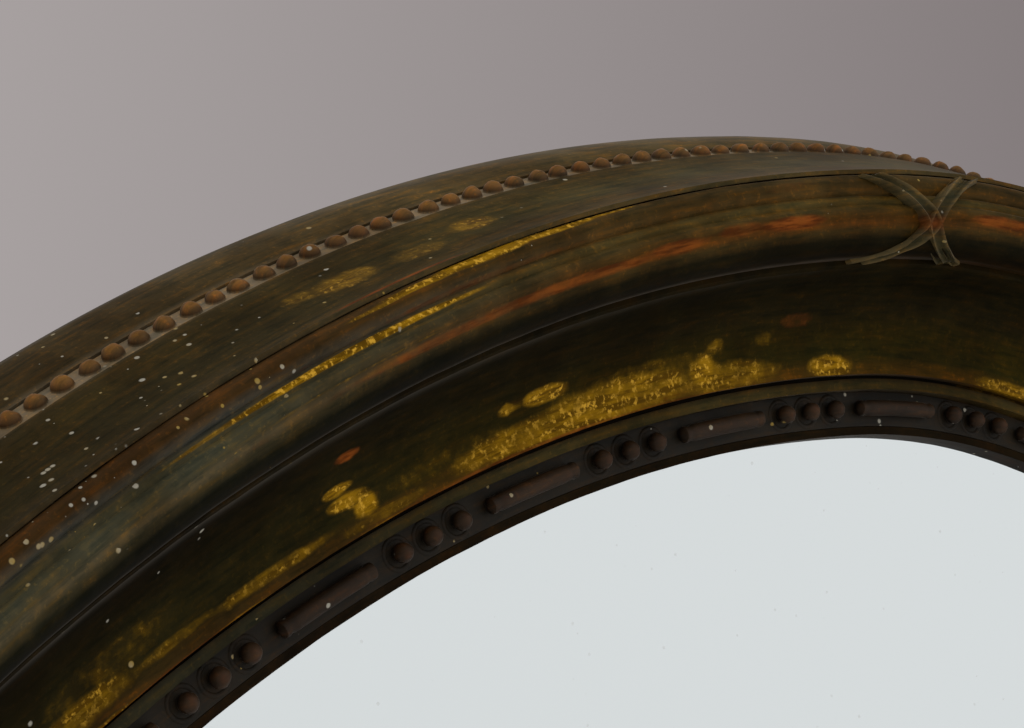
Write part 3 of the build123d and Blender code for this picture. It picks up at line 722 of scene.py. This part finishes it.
def blend(tree, share, one, two, how="MIX"):
    made = node(tree, "ShaderNodeMix", data_type="RGBA", blend_type=how)
    attach(tree, share, made.inputs[0])
    attach(tree, one if isinstance(one, bpy.types.NodeSocket) else (*one, 1), made.inputs[6])
    attach(tree, two if isinstance(two, bpy.types.NodeSocket) else (*two, 1), made.inputs[7])
    return made.outputs[2]


def grain(tree, spot, scale, detail=4.0, rough=0.55):
    made = node(tree, "ShaderNodeTexNoise")
    attach(tree, spot, made.inputs["Vector"])
    attach(tree, scale, made.inputs["Scale"])
    attach(tree, detail, made.inputs["Detail"])
    attach(tree, rough, made.inputs["Roughness"])
    return made.outputs[0]


def specks(tree, spot, scale, size):
    """Round specks: 1 inside, 0 outside."""
    made = node(tree, "ShaderNodeTexVoronoi", feature="F1")
    attach(tree, spot, made.inputs["Vector"])
    attach(tree, scale, made.inputs["Scale"])
    pick = node(tree, "ShaderNodeSeparateColor")
    tree.links.new(made.outputs["Color"], pick.inputs[0])
    reach = calc(tree, "MULTIPLY", pick.outputs[0], size)
    return stretch(tree, made.outputs["Distance"], reach, calc(tree, "MULTIPLY", reach, 0.55)), pick.outputs[1]


def value_of(tree, name, colour=False):
    return node(tree, "ShaderNodeAttribute", attribute_name=name).outputs["Color" if colour else "Fac"]


def make_group(name, inputs, outputs):
    tree = bpy.data.node_groups.new(name, "ShaderNodeTree")
    for label, kind, start in inputs:
        socket = tree.interface.new_socket(label, in_out="INPUT", socket_type=kind)
        if start is not None:
            socket.default_value = start
    for label, kind in outputs:
        tree.interface.new_socket(label, in_out="OUTPUT", socket_type=kind)
    return tree, node(tree, "NodeGroupInput"), node(tree, "NodeGroupOutput")


def make_aged_finish():
    """Toned, gilded and rubbed surface: a colour, its roughness, how metallic it is, and a height for the bump."""
    tree, given, out = make_group(
        "aged finish",
        [("Place", "NodeSocketVector", None), ("Run", "NodeSocketVector", None),
         ("Tone", "NodeSocketColor", (0.04, 0.03, 0.01, 1)),
         ("Gold", "NodeSocketFloat", 0.0), ("Red", "NodeSocketFloat", 0.0), ("Dust", "NodeSocketFloat", 0.2),
         ("Specks", "NodeSocketFloat", 0.2), ("Dust colour", "NodeSocketColor", (0.19, 0.19, 0.20, 1))],
        [("Colour", "NodeSocketColor"), ("Roughness", "NodeSocketFloat"), ("Metal", "NodeSocketFloat"),
         ("Height", "NodeSocketFloat")])
    spot = given.outputs["Place"]
    broad = grain(tree, spot, 46.0, 5.0, 0.6)
    fine = grain(tree, spot, 300.0, 5.0, 0.6)
    sharp = grain(tree, spot, 950.0, 3.0, 0.6)
    streak = grain(tree, given.outputs["Run"], 1.0, 5.0, 0.62)
    # uneven toning, in streaks along the moulding
    tone = blend(tree, stretch(tree, broad, 0.34, 0.66), given.outputs["Tone"], (0.62, 0.58, 0.50), "MULTIPLY")
    tone = blend(tree, stretch(tree, streak, 0.50, 0.68, 0.0, 0.75), tone, (1.75, 1.35, 0.75), "MULTIPLY")
    tone = blend(tree, stretch(tree, streak, 0.50, 0.34, 0.0, 0.75), tone, (0.50, 0.62, 0.70), "MULTIPLY")
    tone = blend(tree, stretch(tree, fine, 0.50, 0.68, 0.0, 0.60), tone, (1.55, 1.30, 0.90), "MULTIPLY")
    tone = blend(tree, stretch(tree, sharp, 0.56, 0.72, 0.0, 0.60), tone, (2.10, 1.70, 1.10), "MULTIPLY")
    # gold leaf where the toning is rubbed through, with ragged edges
    edge = calc(tree, "ADD", calc(tree, "MULTIPLY", fine, 0.75), calc(tree, "MULTIPLY", streak, 0.95))
    edge = calc(tree, "ADD", edge, calc(tree, "MULTIPLY", broad, 0.35))
    rubbed = calc(tree, "MULTIPLY", given.outputs["Gold"], 1.25)
    gold = stretch(tree, calc(tree, "SUBTRACT", rubbed, edge), -0.52, 0.22)
    leaf = blend(tree, stretch(tree, streak, 0.40, 0.62), (0.100, 0.048, 0.0012), (0.32, 0.165, 0.004))
    leaf = blend(tree, calc(tree, "MULTIPLY", stretch(tree, sharp, 0.50, 0.66), gold), leaf, (0.60, 0.33, 0.030))
    colour = blend(tree, gold, tone, leaf)
    # red bole under the gold
    rubbed = calc(tree, "MULTIPLY", given.outputs["Red"], 1.3)
    red = stretch(tree, calc(tree, "SUBTRACT", rubbed, edge), -0.50, 0.30)
    bole = blend(tree, stretch(tree, streak, 0.38, 0.64), (0.075, 0.018, 0.002), (0.24, 0.062, 0.008))
    colour = blend(tree, red, colour, bole)
    # dust: a film, thicker in hollows, and pale specks
    film = calc(tree, "MULTIPLY", given.outputs["Dust"], stretch(tree, fine, 0.36, 0.70, 0.25, 1.0), clamp=True)
    film = calc(tree, "MULTIPLY", film, calc(tree, "SUBTRACT", 1.0, calc(tree, "MULTIPLY", gold, 0.8)))
    colour = blend(tree, calc(tree, "MULTIPLY", film, 0.06), colour, given.outputs["Dust colour"])
    big, chance = specks(tree, spot, 640.0, 0.46)
    few = calc(tree, "MULTIPLY", given.outputs["Specks"], 0.30)
    keep = calc(tree, "GREATER_THAN", chance, calc(tree, "SUBTRACT", 1.0, few))
    fleck = calc(tree, "MULTIPLY", big, keep)
    pale = blend(tree, stretch(tree, broad, 0.42, 0.56), (0.30, 0.20, 0.045), (0.36, 0.34, 0.28))
    colour = blend(tree, calc(tree, "MULTIPLY", fleck, 0.90), colour, pale)
    rough = calc(tree, "SUBTRACT", calc(tree, "ADD", 0.52, calc(tree, "MULTIPLY", film, 0.35)),
                 calc(tree, "MULTIPLY", gold, 0.12), clamp=True)
    height = calc(tree, "ADD", calc(tree, "MULTIPLY", fine, 0.8), calc(tree, "MULTIPLY", broad, 0.7))
    height = calc(tree, "ADD", height, calc(tree, "MULTIPLY", sharp, 0.20))
    height = calc(tree, "ADD", height, calc(tree, "MULTIPLY", fleck, 0.5))
    for label, value in (("Colour", colour), ("Roughness", rough), ("Height", height),
                         ("Metal", calc(tree, "MULTIPLY", gold, 0.12))):
        tree.links.new(value, out.inputs[label])
    return tree


def make_wood_finish():
    """Planed wood with grain along the piece: a colour and a height."""
    tree, given, out = make_group(
        "planed wood",
        [("Place", "NodeSocketVector", None), ("Light", "NodeSocketColor", (0.40, 0.25, 0.12, 1)),
         ("Dark", "NodeSocketColor", (0.20, 0.11, 0.045, 1)), ("Grain", "NodeSocketFloat", 60.0)],
        [("Colour", "NodeSocketColor"), ("Height", "NodeSocketFloat")])
    long_way = node(tree, "ShaderNodeMapping")
    long_way.inputs["Scale"].default_value = (1.0, 1.0, 0.09)
    tree.links.new(given.outputs["Place"], long_way.inputs["Vector"])
    lines = grain(tree, long_way.outputs[0], given.outputs["Grain"], 6.0, 0.62)
    fibre = grain(tree, long_way.outputs[0], 1100.0, 2.0, 0.5)
    stain = grain(tree, given.outputs["Place"], 14.0, 4.0, 0.6)
    colour = blend(tree, stretch(tree, lines, 0.36, 0.66), given.outputs["Light"], given.outputs["Dark"])
    colour = blend(tree, stretch(tree, fibre, 0.52, 0.72, 0.0, 0.45), colour, (0.10, 0.055, 0.025))
    colour = blend(tree, stretch(tree, stain, 0.50, 0.74, 0.0, 0.5), colour, (0.13, 0.085, 0.05))
    tree.links.new(colour, out.inputs["Colour"])
    tree.links.new(calc(tree, "ADD", lines, calc(tree, "MULTIPLY", fibre, 0.5)), out.inputs["Height"])
    return tree


def make_metal_finish():
    """Old metal with fine scratches and dull spots: a colour, its roughness and a height."""
    tree, given, out = make_group(
        "old metal",
        [("Place", "NodeSocketVector", None), ("Bright", "NodeSocketColor", (0.60, 0.58, 0.55, 1)),
         ("Dull", "NodeSocketColor", (0.16, 0.12, 0.09, 1)), ("Age", "NodeSocketFloat", 0.5)],
        [("Colour", "NodeSocketColor"), ("Roughness", "NodeSocketFloat"), ("Height", "NodeSocketFloat")])
    spot = given.outputs["Place"]
    blotch = grain(tree, spot, 150.0, 6.0, 0.62)
    brushed = node(tree, "ShaderNodeMapping")
    brushed.inputs["Scale"].default_value = (3.0, 3.0, 0.15)
    tree.links.new(spot, brushed.inputs["Vector"])
    scratch = grain(tree, brushed.outputs[0], 900.0, 3.0, 0.6)
    aged = calc(tree, "ADD", blotch, calc(tree, "MULTIPLY", given.outputs["Age"], 0.5))
    worn = stretch(tree, calc(tree, "SUBTRACT", aged, 0.55), 0.08, 0.34)
    colour = blend(tree, worn, given.outputs["Bright"], given.outputs["Dull"])
    colour = blend(tree, stretch(tree, scratch, 0.55, 0.75, 0.0, 0.35), colour, given.outputs["Dull"])
    tree.links.new(colour, out.inputs["Colour"])
    tree.links.new(calc(tree, "ADD", 0.24, calc(tree, "ADD", calc(tree, "MULTIPLY", worn, 0.36),
                                                calc(tree, "MULTIPLY", scratch, 0.15))), out.inputs["Roughness"])
    tree.links.new(calc(tree, "ADD", scratch, calc(tree, "MULTIPLY", worn, -0.6)), out.inputs["Height"])
    return tree


AGED, WOOD, METAL = make_aged_finish(), make_wood_finish(), make_metal_finish()


def start_material(name):
    material = bpy.data.materials.new(name)
    material.use_nodes = True
    tree = material.node_tree
    shader = tree.nodes["Principled BSDF"]
    return material, tree, shader


def use_group(tree, group, **values):
    made = node(tree, "ShaderNodeGroup", node_tree=group)
    attach(tree, node(tree, "ShaderNodeTexCoord").outputs["Object"], made.inputs["Place"])
    for label, value in values.items():
        socket = made.inputs[label.replace("_", " ")]
        attach(tree, (*value, 1) if isinstance(value, tuple) else value, socket)
    return made.outputs


def add_bump(tree, shader, height, depth, strength=1.0):
    bump = node(tree, "ShaderNodeBump")
    attach(tree, strength, bump.inputs["Strength"])
    attach(tree, depth * MM, bump.inputs["Distance"])
    attach(tree, height, bump.inputs["Height"])
    tree.links.new(bump.outputs[0], shader.inputs["Normal"])


def aged_material(name, tone, gold, red, dust, flecks, bump=0.12, specular=0.02, dust_colour=(0.16, 0.15, 0.12),
                  painted_sheen_strength=0.20):
    """tone, gold, red, dust and flecks are functions of the tree that give a socket or a value."""
    material, tree, shader = start_material(name)
    run = node(tree, "ShaderNodeCombineXYZ")
    tree.links.new(calc(tree, "MULTIPLY", value_of(tree, "along"), 0.085), run.inputs[0])
    tree.links.new(calc(tree, "MULTIPLY", value_of(tree, "across"), 0.62), run.inputs[1])
    made = use_group(tree, AGED, Run=run.outputs[0], Tone=tone(tree), Gold=gold(tree), Red=red(tree), Dust=dust(tree),
                     Specks=flecks(tree), Dust_colour=dust_colour)
    colour = made["Colour"]
    # painted sheen: a pale colour mixed into the base colour where the surface is seen at a grazing angle, standing
    # in for light off the old varnish
    sheen = node(tree, "ShaderNodeLayerWeight")
    sheen.inputs["Blend"].default_value = 0.5
    colour = blend(tree, stretch(tree, sheen.outputs["Facing"], 0.70, 1.0, 0.0, painted_sheen_strength), colour,
                   (0.24, 0.22, 0.19))
    tree.links.new(colour, shader.inputs["Base Color"])
    tree.links.new(made["Roughness"], shader.inputs["Roughness"])
    tree.links.new(made["Metal"], shader.inputs["Metallic"])
    shader.inputs["Specular IOR Level"].default_value = specular
    add_bump(tree, shader, made["Height"], bump)
    return material


def bead_material(name, low, high, between, gaps, gold, red, film, flecks, bump, specular, dust_colour):
    """Beads that are darker at the foot than at the crest, with another colour in the gaps between them. The dark
    foot is painted shade; the light crest is partly rubbed wear and partly a painted highlight.
    """
    return aged_material(
        name,
        lambda t: blend(t, stretch(t, value_of(t, "gap"), *gaps), blend(t, value_of(t, "crest"), low, high), between),
        lambda t: calc(t, "MULTIPLY", value_of(t, "crest"), gold),
        lambda t: calc(t, "MULTIPLY", value_of(t, "crest"), red),
        lambda t: calc(t, "ADD", calc(t, "MULTIPLY", value_of(t, "gap"), film[0]), film[1]),
        lambda t: flecks, bump, specular, dust_colour)


def wood_material(name, light, dark, lines):
    material, tree, shader = start_material(name)
    finish = use_group(tree, WOOD, Light=light, Dark=dark, Grain=lines)
    tree.links.new(finish["Colour"], shader.inputs["Base Color"])
    shader.inputs["Roughness"].default_value = 0.72
    shader.inputs["Specular IOR Level"].default_value = 0.3
    add_bump(tree, shader, finish["Height"], 0.15)
    return material


def metal_material(name, bright, dull, age):
    material, tree, shader = start_material(name)
    finish = use_group(tree, METAL, Bright=bright, Dull=dull, Age=age)
    tree.links.new(finish["Colour"], shader.inputs["Base Color"])
    tree.links.new(finish["Roughness"], shader.inputs["Roughness"])
    shader.inputs["Metallic"].default_value = 0.9
    add_bump(tree, shader, finish["Height"], 0.03)
    return material


def make_materials():
    made = {}
    made["face"] = aged_material(
        "toned gilding", lambda t: value_of(t, "tone", True), lambda t: value_of(t, "gold"),
        lambda t: value_of(t, "red"), lambda t: value_of(t, "dust"), lambda t: value_of(t, "fleck"))
    # pearls: the dark foot colour is painted shade, the coppery crest colour partly rubbed wear and partly a painted
    # highlight; the pale gaps are dust
    made["pearl_tone"] = bead_material(
        "coppery pearls", (0.040, 0.021, 0.007), (0.19, 0.088, 0.017), (0.30, 0.23, 0.14), (0.15, 0.95), 0.55, 0.50,
        (0.9, 0.12), 0.25, 0.10, 0.14, (0.26, 0.22, 0.17))
    # sight row: the dark foot colour is painted shade, the lighter crest colour partly rubbed wear and partly a
    # painted highlight
    made["sight_tone"] = bead_material(
        "purple-brown pearls and reels", (0.010, 0.006, 0.003), (0.036, 0.019, 0.008), (0.014, 0.010, 0.005),
        (0.1, 0.9), 0.30, 0.52, (0.35, 0.16), 0.12, 0.08, 0.14, (0.14, 0.11, 0.10))
    made["ribbon_tone"] = aged_material(
        "rubbed ribbon", lambda t: value_of(t, "tone", True), lambda t: value_of(t, "gold"),
        lambda t: value_of(t, "red"), lambda t: value_of(t, "dust"), lambda t: 0.25, 0.12)

    made["bare_wood"] = wood_material("bare pine of the back", (0.36, 0.23, 0.115), (0.20, 0.115, 0.052), 70.0)
    made["spline_wood"] = wood_material("beech splines", (0.42, 0.26, 0.14), (0.28, 0.15, 0.07), 110.0)
    made["backing_wood"] = wood_material("thin backing board", (0.27, 0.165, 0.085), (0.16, 0.090, 0.042), 48.0)
    made["button_brass"] = metal_material("old brass", (0.62, 0.43, 0.17), (0.16, 0.10, 0.045), 0.5)
    made["screw_steel"] = metal_material("dull steel screws", (0.45, 0.43, 0.40), (0.12, 0.09, 0.07), 0.55)
    made["hanger_steel"] = metal_material("zinc strap", (0.56, 0.57, 0.58), (0.26, 0.25, 0.24), 0.4)
    made["ring_steel"] = metal_material("steel ring", (0.58, 0.57, 0.55), (0.20, 0.17, 0.15), 0.35)

    material, tree, shader = start_material("silvered glass")
    spot = node(tree, "ShaderNodeTexCoord").outputs["Object"]
    cloud = grain(tree, spot, 30.0, 5.0, 0.6)
    dots, chance = specks(tree, spot, 260.0, 0.14)
    dot = calc(tree, "MULTIPLY", dots, stretch(tree, chance, 0.72, 0.80))
    tree.links.new(blend(tree, calc(tree, "MULTIPLY", dot, 0.35), (0.885, 0.903, 0.905), (0.62, 0.61, 0.58)),
                   shader.inputs["Base Color"])
    tree.links.new(calc(tree, "ADD", calc(tree, "MULTIPLY", dot, 0.3), stretch(tree, cloud, 0.5, 0.8, 0.012, 0.03)),
                   shader.inputs["Roughness"])
    shader.inputs["Metallic"].default_value = 1.0
    made["silvered_glass"] = material

    material, tree, shader = start_material("grey packing board")
    spot = node(tree, "ShaderNodeTexCoord").outputs["Object"]
    fibres = grain(tree, spot, 700.0, 5.0, 0.7)
    stains = grain(tree, spot, 22.0, 4.0, 0.6)
    card = blend(tree, fibres, (0.30, 0.27, 0.22), (0.42, 0.38, 0.31))
    card = blend(tree, stretch(tree, stains, 0.4, 0.7), card, (0.26, 0.22, 0.16))
    tree.links.new(card, shader.inputs["Base Color"])
    shader.inputs["Roughness"].default_value = 0.92
    add_bump(tree, shader, fibres, 0.08)
    made["packing_board"] = material

    material, tree, shader = start_material("brown felt")
    spot = node(tree, "ShaderNodeTexCoord").outputs["Object"]
    fluff = grain(tree, spot, 1500.0, 6.0, 0.75)
    tufts = grain(tree, spot, 260.0, 4.0, 0.6)
    tree.links.new(blend(tree, stretch(tree, fluff, 0.35, 0.65), (0.075, 0.050, 0.034), (0.17, 0.125, 0.09)),
                   shader.inputs["Base Color"])
    shader.inputs["Roughness"].default_value = 0.95
    add_bump(tree, shader, calc(tree, "ADD", fluff, tufts), 0.35)
    made["pad_felt"] = material
    return made


MATERIALS = make_materials()


# Pieces
# Places across where the corners near the glass lie: (length along this section, place across)
CORNER_PLACES = [(0, 0), (3.0, 3.0), (4.9, 4.9), (5.4, 5.4), (13.4, 15.6), (17.1, 18.6), (19.6, 21.1), (20.8, 22.3),
                 (21.6, 23.1), (24.3, 25.8)]
REED_PLACES = [56.0, 57.5, 69.2, 73.6, 76.6, 83.4, 84.0]
COVE_END, BED_END, FRIEZE_START = 55.0, 57.0, 85.2
FRONT_END = 139.0
BACK_PLACE = 150.0


def length_at(line, lengths, corner):
    """Length along a line of its point nearest to a corner."""
    return lengths[np.argmin(np.abs(line - np.array(corner)).sum(1))]


def make_moulding(arc):
    corners = polyline(core_front())
    lengths = running_length(corners, 0.0)
    frieze = length_at(corners, lengths, FRIEZE_IN)
    places = CORNER_PLACES + [
        (length_at(corners, lengths, (34.4, 23.9)), COVE_END), (length_at(corners, lengths, (53.5, 24.5)), BED_END),
        (frieze - 1.0, FRIEZE_START - 1.0), (frieze, FRIEZE_START),
        (lengths[-1], FRIEZE_START + lengths[-1] - frieze)]
    across = np.interp(lengths, *zip(*places))
    piece = sweep("moulding_" + arc.name, arc, soften(corners, 0.16), across, np.array(core_back()[1:-1], float),
                  "frame", 0.10)
    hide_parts("core_" + arc.name)
    mesh = piece.data
    mesh.materials.append(MATERIALS["face"])
    mesh.materials.append(MATERIALS["bare_wood"])
    spread = np.empty(len(mesh.vertices), np.float32)
    mesh.attributes["across"].data.foreach_get("value", spread)
    for face in mesh.polygons:
        if min(spread[vertex] for vertex in face.vertices) > FRONT_END or len(face.vertices) > 4:
            face.material_index = 1


def make_crest_reeds(arc):
    points = reed_front()
    line = polyline(points, 0.30)
    lengths = running_length(line, 0.0)
    across = np.interp(lengths, [length_at(line, lengths, point[:2]) for point in points], REED_PLACES)
    piece = sweep("crest_reeds_" + arc.name, arc, soften(line, 0.18), across, np.zeros((0, 2)), "frame",
                  0.12)
    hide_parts("reeds_" + arc.name)
    piece.data.materials.append(MATERIALS["face"])


for each in ARCS:
    make_moulding(each)
    make_crest_reeds(each)
    make_pearl_row(each)
    make_sight_row(each)
for each in TIE_CORNERS:
    make_tie(each)

KEPT = {"joint_splines": "spline_wood", "mirror_glass": "silvered_glass", "packing_sheet": "packing_board",
        "backing_board": "backing_wood", "button_screws": "screw_steel", "hanger_screws": "screw_steel"}
for name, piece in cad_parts.items():
    slot = KEPT.get(name)
    if name.startswith("turn_button_"):
        slot = "button_brass"
    elif name.startswith("hanger_strap"):
        slot = "hanger_steel"
    elif name.startswith("hanger_ring"):
        slot = "ring_steel"
    elif name.startswith("wall_pad"):
        slot = "pad_felt"
    if slot:
        piece.data.materials.clear()
        piece.data.materials.append(MATERIALS[slot])


# Setting: plain floor, plain soft light, and a grey-mauve wall behind with painted light, lighter on the left than on
# the right
CAMERA_PLACE = (-0.2192, -0.3907, -0.2518)
CAMERA_RIGHT = (0.395166, -0.616162, 0.681314)
CAMERA_DOWN = (0.911511, 0.170983, -0.374049)
CAMERA_FORWARD = (0.113982, 0.768836, 0.629205)
FOCAL_PIXELS, PICTURE_WIDTH, SENSOR = 2380.5, 1024, 36.0
FLOOR_GAP = 150.0


def make_setting():
    floor_mesh = bpy.data.meshes.new("floor")
    reach, low = 3.0, -(SIGHT_HALF_HEIGHT + FRAME_EDGE[0] + FLOOR_GAP) * MM
    floor_mesh.from_pydata([(-reach, -reach, low), (reach, -reach, low), (reach, reach, low), (-reach, reach, low)],
                           [], [(0, 1, 2, 3)])
    floor = bpy.data.objects.new("floor", floor_mesh)
    bpy.context.scene.collection.objects.link(floor)
    material, tree, shader = start_material("plain pale floor")
    shade = grain(tree, node(tree, "ShaderNodeTexCoord").outputs["Object"], 6.0, 3.0, 0.5)
    tree.links.new(blend(tree, shade, (0.62, 0.61, 0.60), (0.66, 0.65, 0.64)), shader.inputs["Base Color"])
    shader.inputs["Roughness"].default_value = 0.9
    floor_mesh.materials.append(material)

    world = bpy.data.worlds.new("plain room")
    bpy.context.scene.world = world
    world.use_nodes = True
    tree = world.node_tree
    tree.nodes.clear()
    way = node(tree, "ShaderNodeTexCoord").outputs["Generated"]
    right = node(tree, "ShaderNodeVectorMath", operation="DOT_PRODUCT")
    tree.links.new(way, right.inputs[0])
    right.inputs[1].default_value = CAMERA_RIGHT
    seen = node(tree, "ShaderNodeMapRange")
    for socket, value in zip(seen.inputs, (right.outputs["Value"], -0.21, 0.21, 0.0, 1.0)):
        attach(tree, value, socket)
    # painted light on the wall behind: pale on the left of the picture, darker on the right
    wall = blend(tree, seen.outputs[0], (0.385, 0.352, 0.350), (0.232, 0.204, 0.206))
    split = node(tree, "ShaderNodeSeparateXYZ")
    tree.links.new(way, split.inputs[0])
    front = stretch(tree, split.outputs[1], -0.05, -0.35)
    pale = blend(tree, stretch(tree, split.outputs[2], -0.4, 0.8), (0.70, 0.725, 0.72), (0.76, 0.785, 0.79))
    picture = blend(tree, front, wall, pale)
    rays = node(tree, "ShaderNodeLightPath")
    direct = calc(tree, "MAXIMUM", rays.outputs["Is Camera Ray"], rays.outputs["Is Glossy Ray"])
    direct = calc(tree, "MAXIMUM", direct, rays.outputs["Is Transmission Ray"])
    lit, shown = node(tree, "ShaderNodeBackground"), node(tree, "ShaderNodeBackground")
    level = stretch(tree, split.outputs[2], -1.0, 1.0, 0.72, 1.05)
    tree.links.new(blend(tree, 1.0, (0, 0, 0), (1.0, 0.985, 0.97)), lit.inputs["Color"])
    tree.links.new(level, lit.inputs["Strength"])
    tree.links.new(picture, shown.inputs["Color"])
    mix = node(tree, "ShaderNodeMixShader")
    tree.links.new(direct, mix.inputs[0])
    tree.links.new(lit.outputs[0], mix.inputs[1])
    tree.links.new(shown.outputs[0], mix.inputs[2])
    tree.links.new(mix.outputs[0], node(tree, "ShaderNodeOutputWorld").inputs["Surface"])


def make_camera():
    data = bpy.data.cameras.new("picture")
    data.sensor_fit, data.sensor_width, data.lens = "HORIZONTAL", SENSOR, FOCAL_PIXELS * SENSOR / PICTURE_WIDTH
    data.clip_start, data.clip_end = 0.01, 50
    camera = bpy.data.objects.new("picture", data)
    bpy.context.scene.collection.objects.link(camera)
    matrix = Matrix((Vector(CAMERA_RIGHT), -Vector(CAMERA_DOWN), -Vector(CAMERA_FORWARD))).transposed().to_4x4()
    matrix.translation = CAMERA_PLACE
    camera.matrix_world = matrix
    bpy.context.scene.camera = camera


make_setting()
make_camera()
bpy.context.scene.view_settings.view_transform = "Standard"
